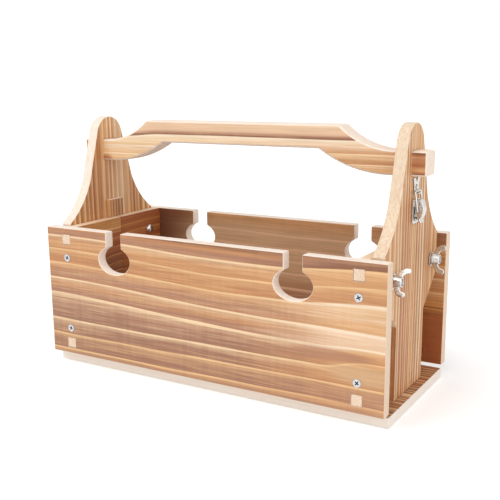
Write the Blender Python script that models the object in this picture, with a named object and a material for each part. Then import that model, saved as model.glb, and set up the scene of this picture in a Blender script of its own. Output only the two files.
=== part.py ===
"""Wooden picnic basket with a through-tenoned handle, for a bottle and stemmed glasses.

Two trays are bolted to a pair of bell-shaped end boards with wing nuts. X runs along the
basket, Y from front to back and Z up. The origin is under the middle of the bottom board.
"""

import math

import bmesh
import bpy
from mathutils import Matrix, Vector

MM = 0.001

# Overall sizes
LENGTH = 330 * MM
DEPTH = 146 * MM
RIM_HEIGHT = 130 * MM
HEAD_HEIGHT = 226 * MM

# Boards
BOTTOM_THICKNESS = 9 * MM
PANEL_THICKNESS = 10 * MM
PANEL_GAP = 2.5 * MM
WALL_THICKNESS = 9 * MM
END_THICKNESS = 10 * MM
END_SETBACK = 7.7 * MM
EDGE_ROUND = 1.0 * MM
WALL_ROUND = 0.6 * MM

# Clearance between pieces that touch, and how far a cutter runs past what it cuts
FIT = 0.3 * MM
PAST = 5 * MM

# Outline of an end board, as half widths and heights
HEAD_RADIUS = 18.5 * MM
FLANK_HALF_WIDTH = 31 * MM
FLANK_HEIGHT = 168 * MM
SHOULDER_GAP = 2 * MM
SHOULDER_LIFT = 1.5 * MM
FLARE_BULGE = 0.075
SHOULDER_BOTTOM = 97 * MM
FOOT_HALF_WIDTH = 31 * MM
FOOT_TOP = 70.5 * MM

# Glass keyholes in the tray panels
KEYHOLE_INSET = 77 * MM
KEYHOLE_HALF_WIDTH = 17.2 * MM
KEYHOLE_HALF_HEIGHT = 12.5 * MM
KEYHOLE_DROP = 24.8 * MM
SLOT_WIDTH = 16 * MM

# Tray joints
TENON_HEIGHT = 9 * MM
TENON_MARGIN = 6 * MM
SCREW_LOW = 24.5 * MM
SCREW_HIGH = 27.5 * MM

# Handle
HANDLE_WIDTH = 20 * MM
HANDLE_HEIGHT = 19.5 * MM
HANDLE_END_BOTTOM = 185.5 * MM
HANDLE_RISE = 18.5 * MM
HANDLE_ROUND = 2.0 * MM
GRIP_TOP_SETBACK = 51.3 * MM
GRIP_BOTTOM_SETBACK = 69.3 * MM
CURVE_SETBACK = 6.3 * MM
TOP_BULGE = 0.09
BOTTOM_BULGE = 0.08
TENON_PROUD = 12 * MM

# Stop block over the butt joint of the half walls
BLOCK_WIDTH = 20 * MM
BLOCK_HEIGHT = 17 * MM
BLOCK_THICKNESS = 4 * MM

# Bolts, washers and wing nuts
BOLT_INSET = 18.5 * MM
BOLT_DROP = 19.5 * MM
BOLT_RADIUS = 2.5 * MM
BOLT_HEAD_RADIUS = 4.8 * MM
BOLT_HEAD_HEIGHT = 2.6 * MM
BOLT_HEAD_FLAT = 0.4 * MM
BOLT_SHORT = 0.5 * MM
BOLT_CHAMFER = 0.4 * MM
NECK_LENGTH = 3 * MM
NECK_WIDTH = 5.6 * MM
WASHER_RADIUS = 6 * MM
WASHER_THICKNESS = 1 * MM
NUT_BASE_RADIUS = 5 * MM
NUT_TOP_RADIUS = 4 * MM
NUT_HEIGHT = 6.5 * MM
NUT_FLANGE = 1.2 * MM
NUT_CHAMFER = 0.6 * MM
WING_SPAN = 24 * MM
WING_REACH = 11 * MM
WING_THICKNESS = 1.8 * MM
WING_ROUND = 0.5 * MM
WING_ROOT = 1.2 * MM
WING_LIFT = 0.8 * MM
WING_CROTCH = 5.2 * MM
EAR_OF_WING = 2.6 * MM
WING_OUTER_BOW = -0.12
WING_INNER_BOW = 0.1
NUT_TURN = {"front_left": 20, "front_right": 320, "back_left": 160, "back_right": 350}

# Countersunk wood screws
SCREW_RADIUS = 1.6 * MM
SCREW_HEAD_RADIUS = 3.3 * MM
SCREW_HEAD_DEPTH = 2.2 * MM
SCREW_HEAD_RIM = 0.4 * MM
SCREW_TIP_RADIUS = 0.5 * MM
PANEL_SCREW_LENGTH = 26 * MM
BASE_SCREW_LENGTH = 32 * MM
BASE_SCREW_SPACING = 36 * MM

# Toggle latch: its pin's distance below the handle's end, distances out from the end board, and heights
# above (ABOVE) or below (BELOW) the pin
LATCH_DROP = 21.5 * MM
LATCH_WIDTH = 14 * MM
PLATE_THICKNESS = 0.9 * MM
PLATE_CORNER = 2 * MM
BASE_BELOW = 16 * MM
BASE_ABOVE = 3 * MM
PIN_OUT = 4.6 * MM
PIN_RADIUS = 1 * MM
PIN_PROUD = 0.2 * MM
EAR_INSIDE = 4.2 * MM
EAR_RADIUS = 2.4 * MM
LEVER_WIDTH = 7.6 * MM
LEVER_RADIUS = 2.9 * MM
LEVER_WALL = 0.9 * MM
LEVER_BELOW = 14.8 * MM
LEVER_TIP_OUT = 4.4 * MM
LEVER_LIP_OUT = 7 * MM
LEVER_BACK_OUT = 5.6 * MM
LEVER_BACK_BELOW = 12.8 * MM
LEVER_BACK_BOW = 0.14
LEVER_FLANGE_OUT = 2.9 * MM
LEVER_FLANGE_BELOW = 9.8 * MM
LEVER_CORNER_BELOW = 8.5 * MM
HOLLOW_LOW_OUT = 4.7 * MM
HOLLOW_BELOW = 11.8 * MM
HOLLOW_BOW = 0.13
BAIL_DROP = 6 * MM
BAIL_HALF_WIDTH = 6.4 * MM
BAIL_WIRE = 0.75 * MM
BAIL_BEND = 1.6 * MM
STRIKE_ABOVE = 7.5 * MM
STRIKE_HEIGHT = 12.5 * MM
STRIKE_NOTCH = 4 * MM
STRIKE_NOTCH_HALF = 2.8 * MM
STRIKE_WAIST_HALF = 5 * MM
STRIKE_WAIST_HEIGHT = 6 * MM
HOOK_WIDTH = 7 * MM
HOOK_REACH = 3 * MM
LATCH_SCREW_RADIUS = 1.1 * MM
LATCH_SCREW_HEAD = 2.1 * MM
LATCH_SCREW_RISE = 0.9 * MM
LATCH_SCREW_LENGTH = 8 * MM
LATCH_SCREW_POINT = 1.5 * MM
LATCH_SCREW_MARGIN = 3.2 * MM
LATCH_SCREW_SPACING = 5.4 * MM
STRIKE_SCREW_MARGIN = 5.2 * MM

# Places that follow from the sizes above
END_OFFSET = LENGTH / 2 - END_SETBACK
PANEL_BACK = DEPTH / 2 - PANEL_THICKNESS
PANEL_LOW = BOTTOM_THICKNESS + PANEL_GAP
END_INSIDE = END_OFFSET - END_THICKNESS
WALL_OUTSIDE = END_INSIDE - FIT
WALL_INSIDE = WALL_OUTSIDE - WALL_THICKNESS
WALL_MIDDLE = (WALL_INSIDE + WALL_OUTSIDE) / 2
BOLT_Y = PANEL_BACK - BOLT_INSET
BOLT_Z = RIM_HEIGHT - BOLT_DROP
KEYHOLE_OFFSET = LENGTH / 2 - KEYHOLE_INSET
GRIP_TOP_HALF = END_INSIDE - GRIP_TOP_SETBACK
GRIP_BOTTOM_HALF = END_INSIDE - GRIP_BOTTOM_SETBACK
CURVE_END = END_INSIDE - CURVE_SETBACK
PIN_HEIGHT = HANDLE_END_BOTTOM - LATCH_DROP
BASE_LOW = PIN_HEIGHT - BASE_BELOW
BASE_HIGH = PIN_HEIGHT + BASE_ABOVE
STRIKE_LOW = PIN_HEIGHT + STRIKE_ABOVE
STRIKE_HIGH = STRIKE_LOW + STRIKE_HEIGHT
SHOULDER_HALF_WIDTH = PANEL_BACK - SHOULDER_GAP
SHOULDER_TOP = RIM_HEIGHT + SHOULDER_LIFT
TENON_HEIGHTS = (PANEL_LOW + TENON_MARGIN + TENON_HEIGHT / 2, RIM_HEIGHT - TENON_MARGIN - TENON_HEIGHT / 2)
SCREW_HEIGHTS = {"lower": PANEL_LOW + SCREW_LOW, "upper": RIM_HEIGHT - SCREW_HIGH}
SIDES = {"left": -1, "right": 1}
TRAYS = {"front": -1, "back": 1}


def clear_scene():
    for old in list(bpy.data.objects):
        bpy.data.objects.remove(old)


def finish(name, colour, roughness, metallic=0.0):
    """A plain Principled material in one colour."""
    made = bpy.data.materials.new(name)
    made.use_nodes = True
    shader = made.node_tree.nodes["Principled BSDF"]
    shader.inputs["Base Color"].default_value = (*colour, 1)
    shader.inputs["Roughness"].default_value = roughness
    shader.inputs["Metallic"].default_value = metallic
    made.diffuse_color = (*colour, 1)
    return made


def add_object(name, shape, material, smooth=True):
    """Turns a bmesh into a named object with its faces pointing out."""
    bmesh.ops.recalc_face_normals(shape, faces=shape.faces)
    mesh = bpy.data.meshes.new(name)
    shape.to_mesh(mesh)
    shape.free()
    piece = bpy.data.objects.new(name, mesh)
    bpy.context.scene.collection.objects.link(piece)
    if material:
        mesh.materials.append(material)
    if smooth:
        mesh.shade_smooth()
        mesh.set_sharp_from_angle(angle=math.radians(35))
    return piece


def as_cutter(piece):
    piece.hide_render = True
    piece.display_type = "WIRE"
    return piece


def cut(piece, cutter):
    change = piece.modifiers.new(cutter.name, "BOOLEAN")
    change.operation = "DIFFERENCE"
    change.solver = "EXACT"
    change.object = cutter
    return piece


def join(piece, other):
    """Unites a helper with a piece and keeps the helper out of the model."""
    change = piece.modifiers.new(other.name, "BOOLEAN")
    change.operation = "UNION"
    change.solver = "EXACT"
    change.object = as_cutter(other)
    return piece


def round_edges(piece, width, segments=1):
    change = piece.modifiers.new("rounded_edges", "BEVEL")
    change.width = width
    change.segments = segments
    change.limit_method = "ANGLE"
    change.angle_limit = math.radians(40)
    change.harden_normals = True
    return piece


def prism(shape, outline, low, high, place):
    """Adds an extruded outline. place(a, b, t) turns outline and depth into a point."""
    near = [shape.verts.new(place(a, b, low)) for a, b in outline]
    far = [shape.verts.new(place(a, b, high)) for a, b in outline]
    shape.faces.new(near)
    shape.faces.new(far)
    count = len(outline)
    for i in range(count):
        j = (i + 1) % count
        shape.faces.new((near[i], near[j], far[j], far[i]))


def along_x(a, b, t):
    return Vector((t, a, b))


def along_y(a, b, t):
    return Vector((a, t, b))


def block(shape, low, high):
    """Adds a box between two corners."""
    outline = [(low[0], low[2]), (high[0], low[2]), (high[0], high[2]), (low[0], high[2])]
    prism(shape, outline, low[1], high[1], along_y)


def arc(centre, radius, start, end, steps):
    """Points on an arc from start to end degrees, both ends included."""
    found = []
    for i in range(steps + 1):
        angle = math.radians(start + (end - start) * i / steps)
        found.append((centre[0] + radius * math.cos(angle), centre[1] + radius * math.sin(angle)))
    return found


def bowed(start, end, bulge, steps):
    """Points on an arc from start to end whose height is bulge times its chord."""
    chord = Vector((end[0] - start[0], end[1] - start[1]))
    half = chord.length / 2
    height = bulge * chord.length
    radius = (half * half + height * height) / (2 * height)
    normal = Vector((-chord.y, chord.x)).normalized()
    middle = Vector(((start[0] + end[0]) / 2, (start[1] + end[1]) / 2))
    centre = middle - normal * (radius - height)
    first = math.atan2(start[1] - centre.y, start[0] - centre.x)
    last = math.atan2(end[1] - centre.y, end[0] - centre.x)
    turn = (last - first + math.pi) % (2 * math.pi) - math.pi
    found = []
    for i in range(steps + 1):
        angle = first + turn * i / steps
        found.append((centre.x + abs(radius) * math.cos(angle), centre.y + abs(radius) * math.sin(angle)))
    return found


def revolved(shape, profile, centre, axis, sides):
    """Adds a turned solid. profile is (distance along axis, radius), closed on the axis or as a ring."""
    spin = Vector((0, 0, 1)).rotation_difference(Vector(axis)).to_matrix()
    rings = []
    for reach, radius in profile:
        ring = []
        for i in range(sides):
            angle = 2 * math.pi * (i + 0.5) / sides
            point = Vector((radius * math.cos(angle), radius * math.sin(angle), reach))
            ring.append(shape.verts.new(Vector(centre) + spin @ point))
        rings.append(ring)
    return rings


def turned_solid(shape, profile, centre, axis, sides):
    rings = revolved(shape, profile, centre, axis, sides)
    for lower, upper in zip(rings, rings[1:]):
        for i in range(sides):
            j = (i + 1) % sides
            shape.faces.new((lower[i], lower[j], upper[j], upper[i]))
    shape.faces.new(rings[0])
    shape.faces.new(rings[-1])


def turned_ring(shape, profile, centre, axis, sides):
    rings = revolved(shape, profile, centre, axis, sides)
    for lower, upper in zip(rings, rings[1:] + rings[:1]):
        for i in range(sides):
            j = (i + 1) % sides
            shape.faces.new((lower[i], lower[j], upper[j], upper[i]))


def countersunk(shape, centre, axis, length, grow, sides=12):
    """Adds a countersunk screw whose head lies flush at centre, or its hole when grow is a clearance."""
    profile = [(-grow, SCREW_HEAD_RADIUS + grow), (SCREW_HEAD_RIM, SCREW_HEAD_RADIUS + grow)]
    profile.append((SCREW_HEAD_DEPTH + grow, SCREW_RADIUS + grow))
    tip = length + SCREW_RADIUS
    if grow:
        profile.append((tip + grow, SCREW_RADIUS + grow))
    else:
        profile += [(length, SCREW_RADIUS), (tip, SCREW_TIP_RADIUS)]
    turned_solid(shape, profile, centre, axis, sides)


def keyhole_points(centre_x):
    """The rim's dip into one oval keyhole, from its left lip to its right lip."""
    half = SLOT_WIDTH / 2
    opening = math.asin(half / KEYHOLE_HALF_WIDTH)
    steps = 20
    points = [(centre_x - half, RIM_HEIGHT)]
    for i in range(steps + 1):
        angle = math.pi / 2 + opening + (2 * math.pi - 2 * opening) * i / steps
        across = KEYHOLE_HALF_WIDTH * math.cos(angle)
        points.append((centre_x + across, RIM_HEIGHT - KEYHOLE_DROP + KEYHOLE_HALF_HEIGHT * math.sin(angle)))
    points.append((centre_x + half, RIM_HEIGHT))
    return points


def panel_screw_places(tray, side):
    """Where the two screws of one panel end start, named by their height."""
    x = SIDES[side] * WALL_MIDDLE
    y = TRAYS[tray] * DEPTH / 2
    return {level: Vector((x, y, z)) for level, z in SCREW_HEIGHTS.items()}


def panel(tray, wood):
    """A tray's long panel with two keyholes, four mortises and four screw holes."""
    half = LENGTH / 2
    outline = [(-half, PANEL_LOW), (-half, RIM_HEIGHT)]
    outline += keyhole_points(-KEYHOLE_OFFSET) + keyhole_points(KEYHOLE_OFFSET)
    outline += [(half, RIM_HEIGHT), (half, PANEL_LOW)]
    out = TRAYS[tray]
    shape = bmesh.new()
    prism(shape, outline, out * PANEL_BACK, out * DEPTH / 2, along_y)
    piece = round_edges(add_object(tray + "_panel", shape, wood), EDGE_ROUND)
    holes = bmesh.new()
    for side, way in SIDES.items():
        for z in TENON_HEIGHTS:
            across = WALL_THICKNESS / 2 + FIT
            tall = TENON_HEIGHT / 2 + FIT
            low = (way * WALL_MIDDLE - across, out * (PANEL_BACK - PAST), z - tall)
            high = (way * WALL_MIDDLE + across, out * (DEPTH / 2 + PAST), z + tall)
            block(holes, low, high)
        for place in panel_screw_places(tray, side).values():
            countersunk(holes, place, (0, -out, 0), PANEL_SCREW_LENGTH, FIT)
    return cut(piece, as_cutter(add_object(tray + "_panel_holes", holes, None)))


def half_wall(tray, side, wood):
    """One half of a tray end, tenoned through the panel and bored for its bolt and screws."""
    out = TRAYS[tray]
    shoulder = PANEL_BACK - FIT
    tip = DEPTH / 2
    outline = [(out * FIT / 2, PANEL_LOW), (out * FIT / 2, RIM_HEIGHT), (out * shoulder, RIM_HEIGHT)]
    for z in reversed(TENON_HEIGHTS):
        low = z - TENON_HEIGHT / 2
        high = z + TENON_HEIGHT / 2
        outline += [(out * shoulder, high), (out * tip, high), (out * tip, low), (out * shoulder, low)]
    outline.append((out * shoulder, PANEL_LOW))
    way = SIDES[side]
    shape = bmesh.new()
    prism(shape, outline, way * WALL_INSIDE, way * WALL_OUTSIDE, along_x)
    piece = round_edges(add_object(f"{tray}_{side}_half_wall", shape, wood), WALL_ROUND)
    holes = bmesh.new()
    for place in panel_screw_places(tray, side).values():
        countersunk(holes, place, (0, -out, 0), PANEL_SCREW_LENGTH, FIT)
    cut(piece, as_cutter(add_object(f"{tray}_{side}_wall_screw_holes", holes, None)))
    neck = bmesh.new()
    bolt_neck(neck, tray, side, WALL_INSIDE - FIT, FIT)
    cut(piece, as_cutter(add_object(f"{tray}_{side}_wall_neck_hole", neck, None)))
    shank = bmesh.new()
    profile = [(WALL_INSIDE, BOLT_RADIUS + FIT), (WALL_OUTSIDE + PAST, BOLT_RADIUS + FIT)]
    turned_solid(shank, profile, bolt_centre(tray, side, 0), (way, 0, 0), 20)
    return cut(piece, as_cutter(add_object(f"{tray}_{side}_wall_shank_hole", shank, None)))


def panel_screws(tray, side, metal):
    for level, place in panel_screw_places(tray, side).items():
        shape = bmesh.new()
        countersunk(shape, place, (0, -TRAYS[tray], 0), PANEL_SCREW_LENGTH, 0)
        add_object(f"{tray}_{side}_{level}_screw", shape, metal)


def bolt_centre(tray, side, reach):
    """The point on a bolt's axis at this distance from the middle of the basket."""
    return Vector((SIDES[side] * reach, TRAYS[tray] * BOLT_Y, BOLT_Z))


def nut_face():
    """Distance out to the face of the washer that the wing nut turns on."""
    return END_OFFSET + FIT + WASHER_THICKNESS


def bolt_neck(shape, tray, side, start, grow):
    """Adds a bolt's square neck from this distance out, or its hole when grow is a clearance."""
    way = SIDES[side]
    centre = bolt_centre(tray, side, 0)
    half = NECK_WIDTH / 2 + grow
    low = (way * start, centre.y - half, centre.z - half)
    high = (way * (WALL_INSIDE + NECK_LENGTH + grow), centre.y + half, centre.z + half)
    block(shape, low, high)


def bolt(tray, side, metal):
    """A dome-headed bolt with a square neck, its head inside the tray."""
    way = SIDES[side]
    name = f"{tray}_{side}_bolt"
    centre = bolt_centre(tray, side, WALL_INSIDE - FIT)
    dome = []
    steps = 4
    for i in range(steps + 1):
        angle = math.radians(90 * i / steps)
        radius = max(BOLT_HEAD_RADIUS * math.cos(angle), BOLT_HEAD_FLAT)
        dome.append((BOLT_HEAD_HEIGHT * math.sin(angle), radius))
    shape = bmesh.new()
    turned_solid(shape, dome, centre, (-way, 0, 0), 16)
    head = add_object(name, shape, metal)
    neck = bmesh.new()
    bolt_neck(neck, tray, side, WALL_INSIDE - 2 * FIT, 0)
    join(head, add_object(name + "_neck", neck, None))
    shank = bmesh.new()
    end = nut_face() + NUT_HEIGHT - BOLT_SHORT
    profile = [(WALL_INSIDE, BOLT_RADIUS), (end - BOLT_CHAMFER, BOLT_RADIUS)]
    profile.append((end, BOLT_RADIUS - BOLT_CHAMFER))
    turned_solid(shank, profile, bolt_centre(tray, side, 0), (way, 0, 0), 16)
    return join(head, add_object(name + "_shank", shank, None))


def washer(tray, side, metal):
    hole = BOLT_RADIUS + FIT
    start = END_OFFSET + FIT
    end = nut_face()
    profile = [(start, hole), (start, WASHER_RADIUS), (end, WASHER_RADIUS), (end, hole)]
    shape = bmesh.new()
    turned_ring(shape, profile, bolt_centre(tray, side, 0), (SIDES[side], 0, 0), 24)
    return add_object(f"{tray}_{side}_washer", shape, metal)


def wing_outline():
    """Half of the wings, as distance from the axis and height over the nut's seat."""
    tip = WING_SPAN / 2
    ear = EAR_OF_WING
    ear_middle = (tip - ear, WING_REACH - ear)
    foot = (NUT_BASE_RADIUS, NUT_FLANGE)
    crotch = (NUT_TOP_RADIUS, WING_CROTCH)
    outline = [(NUT_TOP_RADIUS - WING_ROOT, WING_LIFT), foot]
    outline += bowed(foot, (tip, ear_middle[1] - ear), WING_OUTER_BOW, 4)[1:]
    outline += arc(ear_middle, ear, -20, 160, 7)
    outline += bowed((ear_middle[0] - 1.2 * ear, ear_middle[1] - 0.6 * ear), crotch, WING_INNER_BOW, 3)
    outline.append((NUT_TOP_RADIUS - WING_ROOT, WING_CROTCH))
    return outline


def wing_nut(tray, side, metal):
    """A two-winged nut, turned on its bolt as it was left. Its origin is on the bolt's axis."""
    way = SIDES[side]
    seat = nut_face() + FIT
    name = f"{tray}_{side}_wing_nut"
    bore = BOLT_RADIUS + FIT
    profile = [(0, bore), (0, NUT_BASE_RADIUS), (NUT_FLANGE, NUT_BASE_RADIUS)]
    profile.append((NUT_HEIGHT - NUT_CHAMFER, NUT_TOP_RADIUS))
    profile += [(NUT_HEIGHT, NUT_TOP_RADIUS - NUT_CHAMFER), (NUT_HEIGHT, bore)]
    shape = bmesh.new()
    turned_ring(shape, profile, (0, 0, 0), (1, 0, 0), 16)
    hub = add_object(name, shape, metal)
    wings = bmesh.new()
    for end in (-1, 1):
        outline = [(end * across, up) for across, up in wing_outline()]
        prism(wings, outline, -WING_THICKNESS / 2, WING_THICKNESS / 2, lambda a, b, t: Vector((b, t, a)))
    pair = round_edges(add_object(name + "_wings", wings, None), WING_ROUND)
    join(hub, pair)
    bore_shape = bmesh.new()
    turned_solid(bore_shape, [(-PAST, bore), (NUT_HEIGHT + PAST, bore)], (0, 0, 0), (1, 0, 0), 16)
    bore_cutter = as_cutter(add_object(name + "_bore", bore_shape, None))
    cut(hub, bore_cutter)
    turn = Matrix.Rotation(math.radians(NUT_TURN[f"{tray}_{side}"]), 4, "X")
    face_out = Matrix.Rotation(0 if way > 0 else math.pi, 4, "Z")
    place = Matrix.Translation(bolt_centre(tray, side, seat)) @ turn @ face_out
    for part in (hub, pair, bore_cutter):
        part.matrix_world = place
    return hub


def end_outline():
    """The bell-shaped outline of an end board, as width and height, all the way round."""
    centre = (0, HEAD_HEIGHT - HEAD_RADIUS)
    lean = math.degrees(math.atan2(FLANK_HALF_WIDTH - HEAD_RADIUS, centre[1] - FLANK_HEIGHT))
    head = arc(centre, HEAD_RADIUS, lean, 90, 9)
    shoulder = (SHOULDER_HALF_WIDTH, SHOULDER_TOP)
    right = bowed(shoulder, (FLANK_HALF_WIDTH, FLANK_HEIGHT), FLARE_BULGE, 8)
    right += head
    corner = (SHOULDER_HALF_WIDTH, SHOULDER_BOTTOM)
    below = [(FOOT_HALF_WIDTH, BOTTOM_THICKNESS + FIT), (FOOT_HALF_WIDTH, FOOT_TOP), corner]
    right = below + right
    left = [(-across, up) for across, up in reversed(right[:-1])]
    return right + left


def handle_hole():
    """Half width, low and high edges of the mortise for the handle."""
    low = HANDLE_END_BOTTOM - FIT
    return HANDLE_WIDTH / 2 + FIT, low, low + HANDLE_HEIGHT + 2 * FIT


def base_screw_places(side):
    """Where the two screws up into an end board start, named by the tray that they lie under."""
    middle = SIDES[side] * (END_OFFSET - END_THICKNESS / 2)
    return {tray: Vector((middle, way * BASE_SCREW_SPACING / 2, 0)) for tray, way in TRAYS.items()}


def latch_screw_heights():
    """The heights of the latch's screws, by name. The first two hold its base, the last its strike."""
    return {
        "lower": BASE_LOW + LATCH_SCREW_MARGIN,
        "middle": BASE_LOW + LATCH_SCREW_MARGIN + LATCH_SCREW_SPACING,
        "upper": STRIKE_LOW + STRIKE_SCREW_MARGIN,
    }


def latch_screw(shape, side, height, grow):
    """Adds one small round-headed latch screw, or its hole when grow is a clearance."""
    way = SIDES[side]
    seat = END_OFFSET + FIT + PLATE_THICKNESS + FIT
    inner = END_OFFSET - LATCH_SCREW_LENGTH - grow
    centre = (0, 0, height)
    radius = LATCH_SCREW_RADIUS + grow
    if grow:
        profile = [(inner, radius), (END_OFFSET + PAST, radius)]
    else:
        profile = [(inner, radius * 0.4), (inner + LATCH_SCREW_POINT, radius), (seat, radius)]
        profile.append((seat, LATCH_SCREW_HEAD))
        profile += [(seat + LATCH_SCREW_RISE * 0.6, LATCH_SCREW_HEAD * 0.85)]
        profile += [(seat + LATCH_SCREW_RISE, LATCH_SCREW_HEAD * 0.4)]
    turned_solid(shape, profile, centre, (way, 0, 0), 12)


def end_board(side, wood):
    """A bell-shaped end board with the handle's mortise, bolt holes and screw holes."""
    way = SIDES[side]
    shape = bmesh.new()
    prism(shape, end_outline(), way * END_INSIDE, way * END_OFFSET, along_x)
    piece = round_edges(add_object(side + "_end_board", shape, wood), EDGE_ROUND)
    holes = bmesh.new()
    half, low, high = handle_hole()
    block(holes, (way * (END_INSIDE - PAST), -half, low), (way * (END_OFFSET + PAST), half, high))
    for tray in TRAYS:
        profile = [(END_INSIDE - PAST, BOLT_RADIUS + FIT), (END_OFFSET + PAST, BOLT_RADIUS + FIT)]
        turned_solid(holes, profile, bolt_centre(tray, side, 0), (way, 0, 0), 20)
    for place in base_screw_places(side).values():
        countersunk(holes, place, (0, 0, 1), BASE_SCREW_LENGTH, FIT)
    for height in latch_screw_heights().values():
        latch_screw(holes, side, height, FIT)
    return cut(piece, as_cutter(add_object(side + "_end_holes", holes, None)))


def bottom_board(wood):
    half = LENGTH / 2
    shape = bmesh.new()
    block(shape, (-half, -PANEL_BACK, 0), (half, PANEL_BACK, BOTTOM_THICKNESS))
    piece = round_edges(add_object("bottom_board", shape, wood), EDGE_ROUND)
    holes = bmesh.new()
    for side in SIDES:
        for place in base_screw_places(side).values():
            countersunk(holes, place, (0, 0, 1), BASE_SCREW_LENGTH, FIT)
    return cut(piece, as_cutter(add_object("bottom_holes", holes, None)))


def base_screws(side, metal):
    for tray, place in base_screw_places(side).items():
        shape = bmesh.new()
        countersunk(shape, place + Vector((0, 0, FIT)), (0, 0, 1), BASE_SCREW_LENGTH, 0)
        add_object(f"{side}_{tray}_base_screw", shape, metal)


def handle_outline():
    """The raised grip, the swept shoulders and the straight ends of the handle."""
    reach = END_OFFSET + TENON_PROUD
    low = HANDLE_END_BOTTOM
    high = HANDLE_END_BOTTOM + HANDLE_HEIGHT
    top = bowed((CURVE_END, high), (GRIP_TOP_HALF, high + HANDLE_RISE), TOP_BULGE, 8)
    bottom = bowed((GRIP_BOTTOM_HALF, low + HANDLE_RISE), (CURVE_END, low), -BOTTOM_BULGE, 9)
    right = bottom + [(reach, low), (reach, high)] + top
    left = [(-x, z) for x, z in reversed(right)]
    return right + left


def handle(wood):
    shape = bmesh.new()
    prism(shape, handle_outline(), -HANDLE_WIDTH / 2, HANDLE_WIDTH / 2, along_y)
    return round_edges(add_object("handle", shape, wood), HANDLE_ROUND, 3)


def stop_block(side, wood):
    """A small block on the end board that keeps both half walls from turning."""
    way = SIDES[side]
    inner = END_INSIDE - FIT - BLOCK_THICKNESS
    low = RIM_HEIGHT + FIT
    shape = bmesh.new()
    half = BLOCK_WIDTH / 2
    block(shape, (way * inner, -half, low), (way * (END_INSIDE - FIT), half, low + BLOCK_HEIGHT))
    return round_edges(add_object(side + "_stop_block", shape, wood), EDGE_ROUND / 2)


def latch_point(side, out, across, up):
    """A point on a latch, given as distance out from the end board's face."""
    return Vector((SIDES[side] * (END_OFFSET + out), across, up))


def latch_prism(side, outline, low, high, name, material):
    """A latch piece extruded across the board from a side view of distances out and heights."""
    shape = bmesh.new()
    prism(shape, outline, low, high, lambda a, b, t: latch_point(side, a, t, b))
    return add_object(name, shape, material)


def latch_plate(side, outline, name, material):
    """A flat plate lying on the end board, from an outline of widths and heights."""
    shape = bmesh.new()
    start = FIT
    prism(shape, outline, start, start + PLATE_THICKNESS, lambda a, b, t: latch_point(side, t, a, b))
    return add_object(name, shape, material)


def plate_screw_holes(side, levels, name):
    shape = bmesh.new()
    for level in levels:
        latch_screw(shape, side, latch_screw_heights()[level], FIT)
    return as_cutter(add_object(name, shape, None))


def latch_base(side, metal):
    """The screwed-down plate of the latch with its two ears for the pin."""
    half = LATCH_WIDTH / 2
    corner = PLATE_CORNER
    outline = [(-half, BASE_HIGH), (-half, BASE_LOW + corner), (-half + corner, BASE_LOW)]
    outline += [(half - corner, BASE_LOW), (half, BASE_LOW + corner), (half, BASE_HIGH)]
    piece = latch_plate(side, outline, side + "_latch_base", metal)
    ear = [(FIT + PLATE_THICKNESS / 2, PIN_HEIGHT - EAR_RADIUS), (PIN_OUT, PIN_HEIGHT - EAR_RADIUS)]
    ear = ear[:1] + arc((PIN_OUT, PIN_HEIGHT), EAR_RADIUS, -90, 90, 8)
    ear.append((FIT + PLATE_THICKNESS / 2, PIN_HEIGHT + EAR_RADIUS))
    for way in (-1, 1):
        low = way * EAR_INSIDE
        high = way * (EAR_INSIDE + PLATE_THICKNESS)
        helper = latch_prism(side, ear, low, high, f"{side}_latch_ear_{way}", None)
        join(piece, helper)
    cut(piece, pin_hole(side, "base"))
    return cut(piece, plate_screw_holes(side, ("lower", "middle"), side + "_base_screw_holes"))


def pin_hole(side, owner):
    shape = bmesh.new()
    centre = latch_point(side, PIN_OUT, -LATCH_WIDTH, PIN_HEIGHT)
    profile = [(0, PIN_RADIUS + FIT), (2 * LATCH_WIDTH, PIN_RADIUS + FIT)]
    turned_solid(shape, profile, centre, (0, 1, 0), 16)
    return as_cutter(add_object(f"{side}_{owner}_pin_hole", shape, None))


def latch_pin(side, metal):
    half = EAR_INSIDE + PLATE_THICKNESS + PIN_PROUD
    shape = bmesh.new()
    centre = latch_point(side, PIN_OUT, -half, PIN_HEIGHT)
    turned_solid(shape, [(0, PIN_RADIUS), (2 * half, PIN_RADIUS)], centre, (0, 1, 0), 16)
    return add_object(side + "_latch_pin", shape, metal)


def lever_outline():
    """Side view of the lever: a barrel on the pin, a bulged back and a turned-out finger tip."""
    outline = arc((PIN_OUT, PIN_HEIGHT), LEVER_RADIUS, 180, 0, 10)
    back = (PIN_OUT + LEVER_RADIUS, PIN_HEIGHT)
    outline += bowed(back, (LEVER_BACK_OUT, PIN_HEIGHT - LEVER_BACK_BELOW), LEVER_BACK_BOW, 7)[1:]
    low = PIN_HEIGHT - LEVER_BELOW
    outline += [(LEVER_LIP_OUT, low), (LEVER_LIP_OUT - LEVER_WALL, low - LEVER_WALL), (LEVER_TIP_OUT, low)]
    outline.append((LEVER_FLANGE_OUT, PIN_HEIGHT - LEVER_FLANGE_BELOW))
    outline.append((PIN_OUT - LEVER_RADIUS, PIN_HEIGHT - LEVER_CORNER_BELOW))
    return outline


def lever_hollow():
    """Side view of what is hollowed out of the lever, open towards the end board."""
    barrel = LEVER_RADIUS - LEVER_WALL
    low = PIN_HEIGHT - HOLLOW_BELOW
    hollow = [(-PAST, PIN_HEIGHT)]
    hollow += arc((PIN_OUT, PIN_HEIGHT), barrel, 180, 0, 10)
    hollow += bowed((PIN_OUT + barrel, PIN_HEIGHT), (HOLLOW_LOW_OUT, low), HOLLOW_BOW, 7)[1:]
    hollow.append((-PAST, low))
    return hollow


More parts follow.
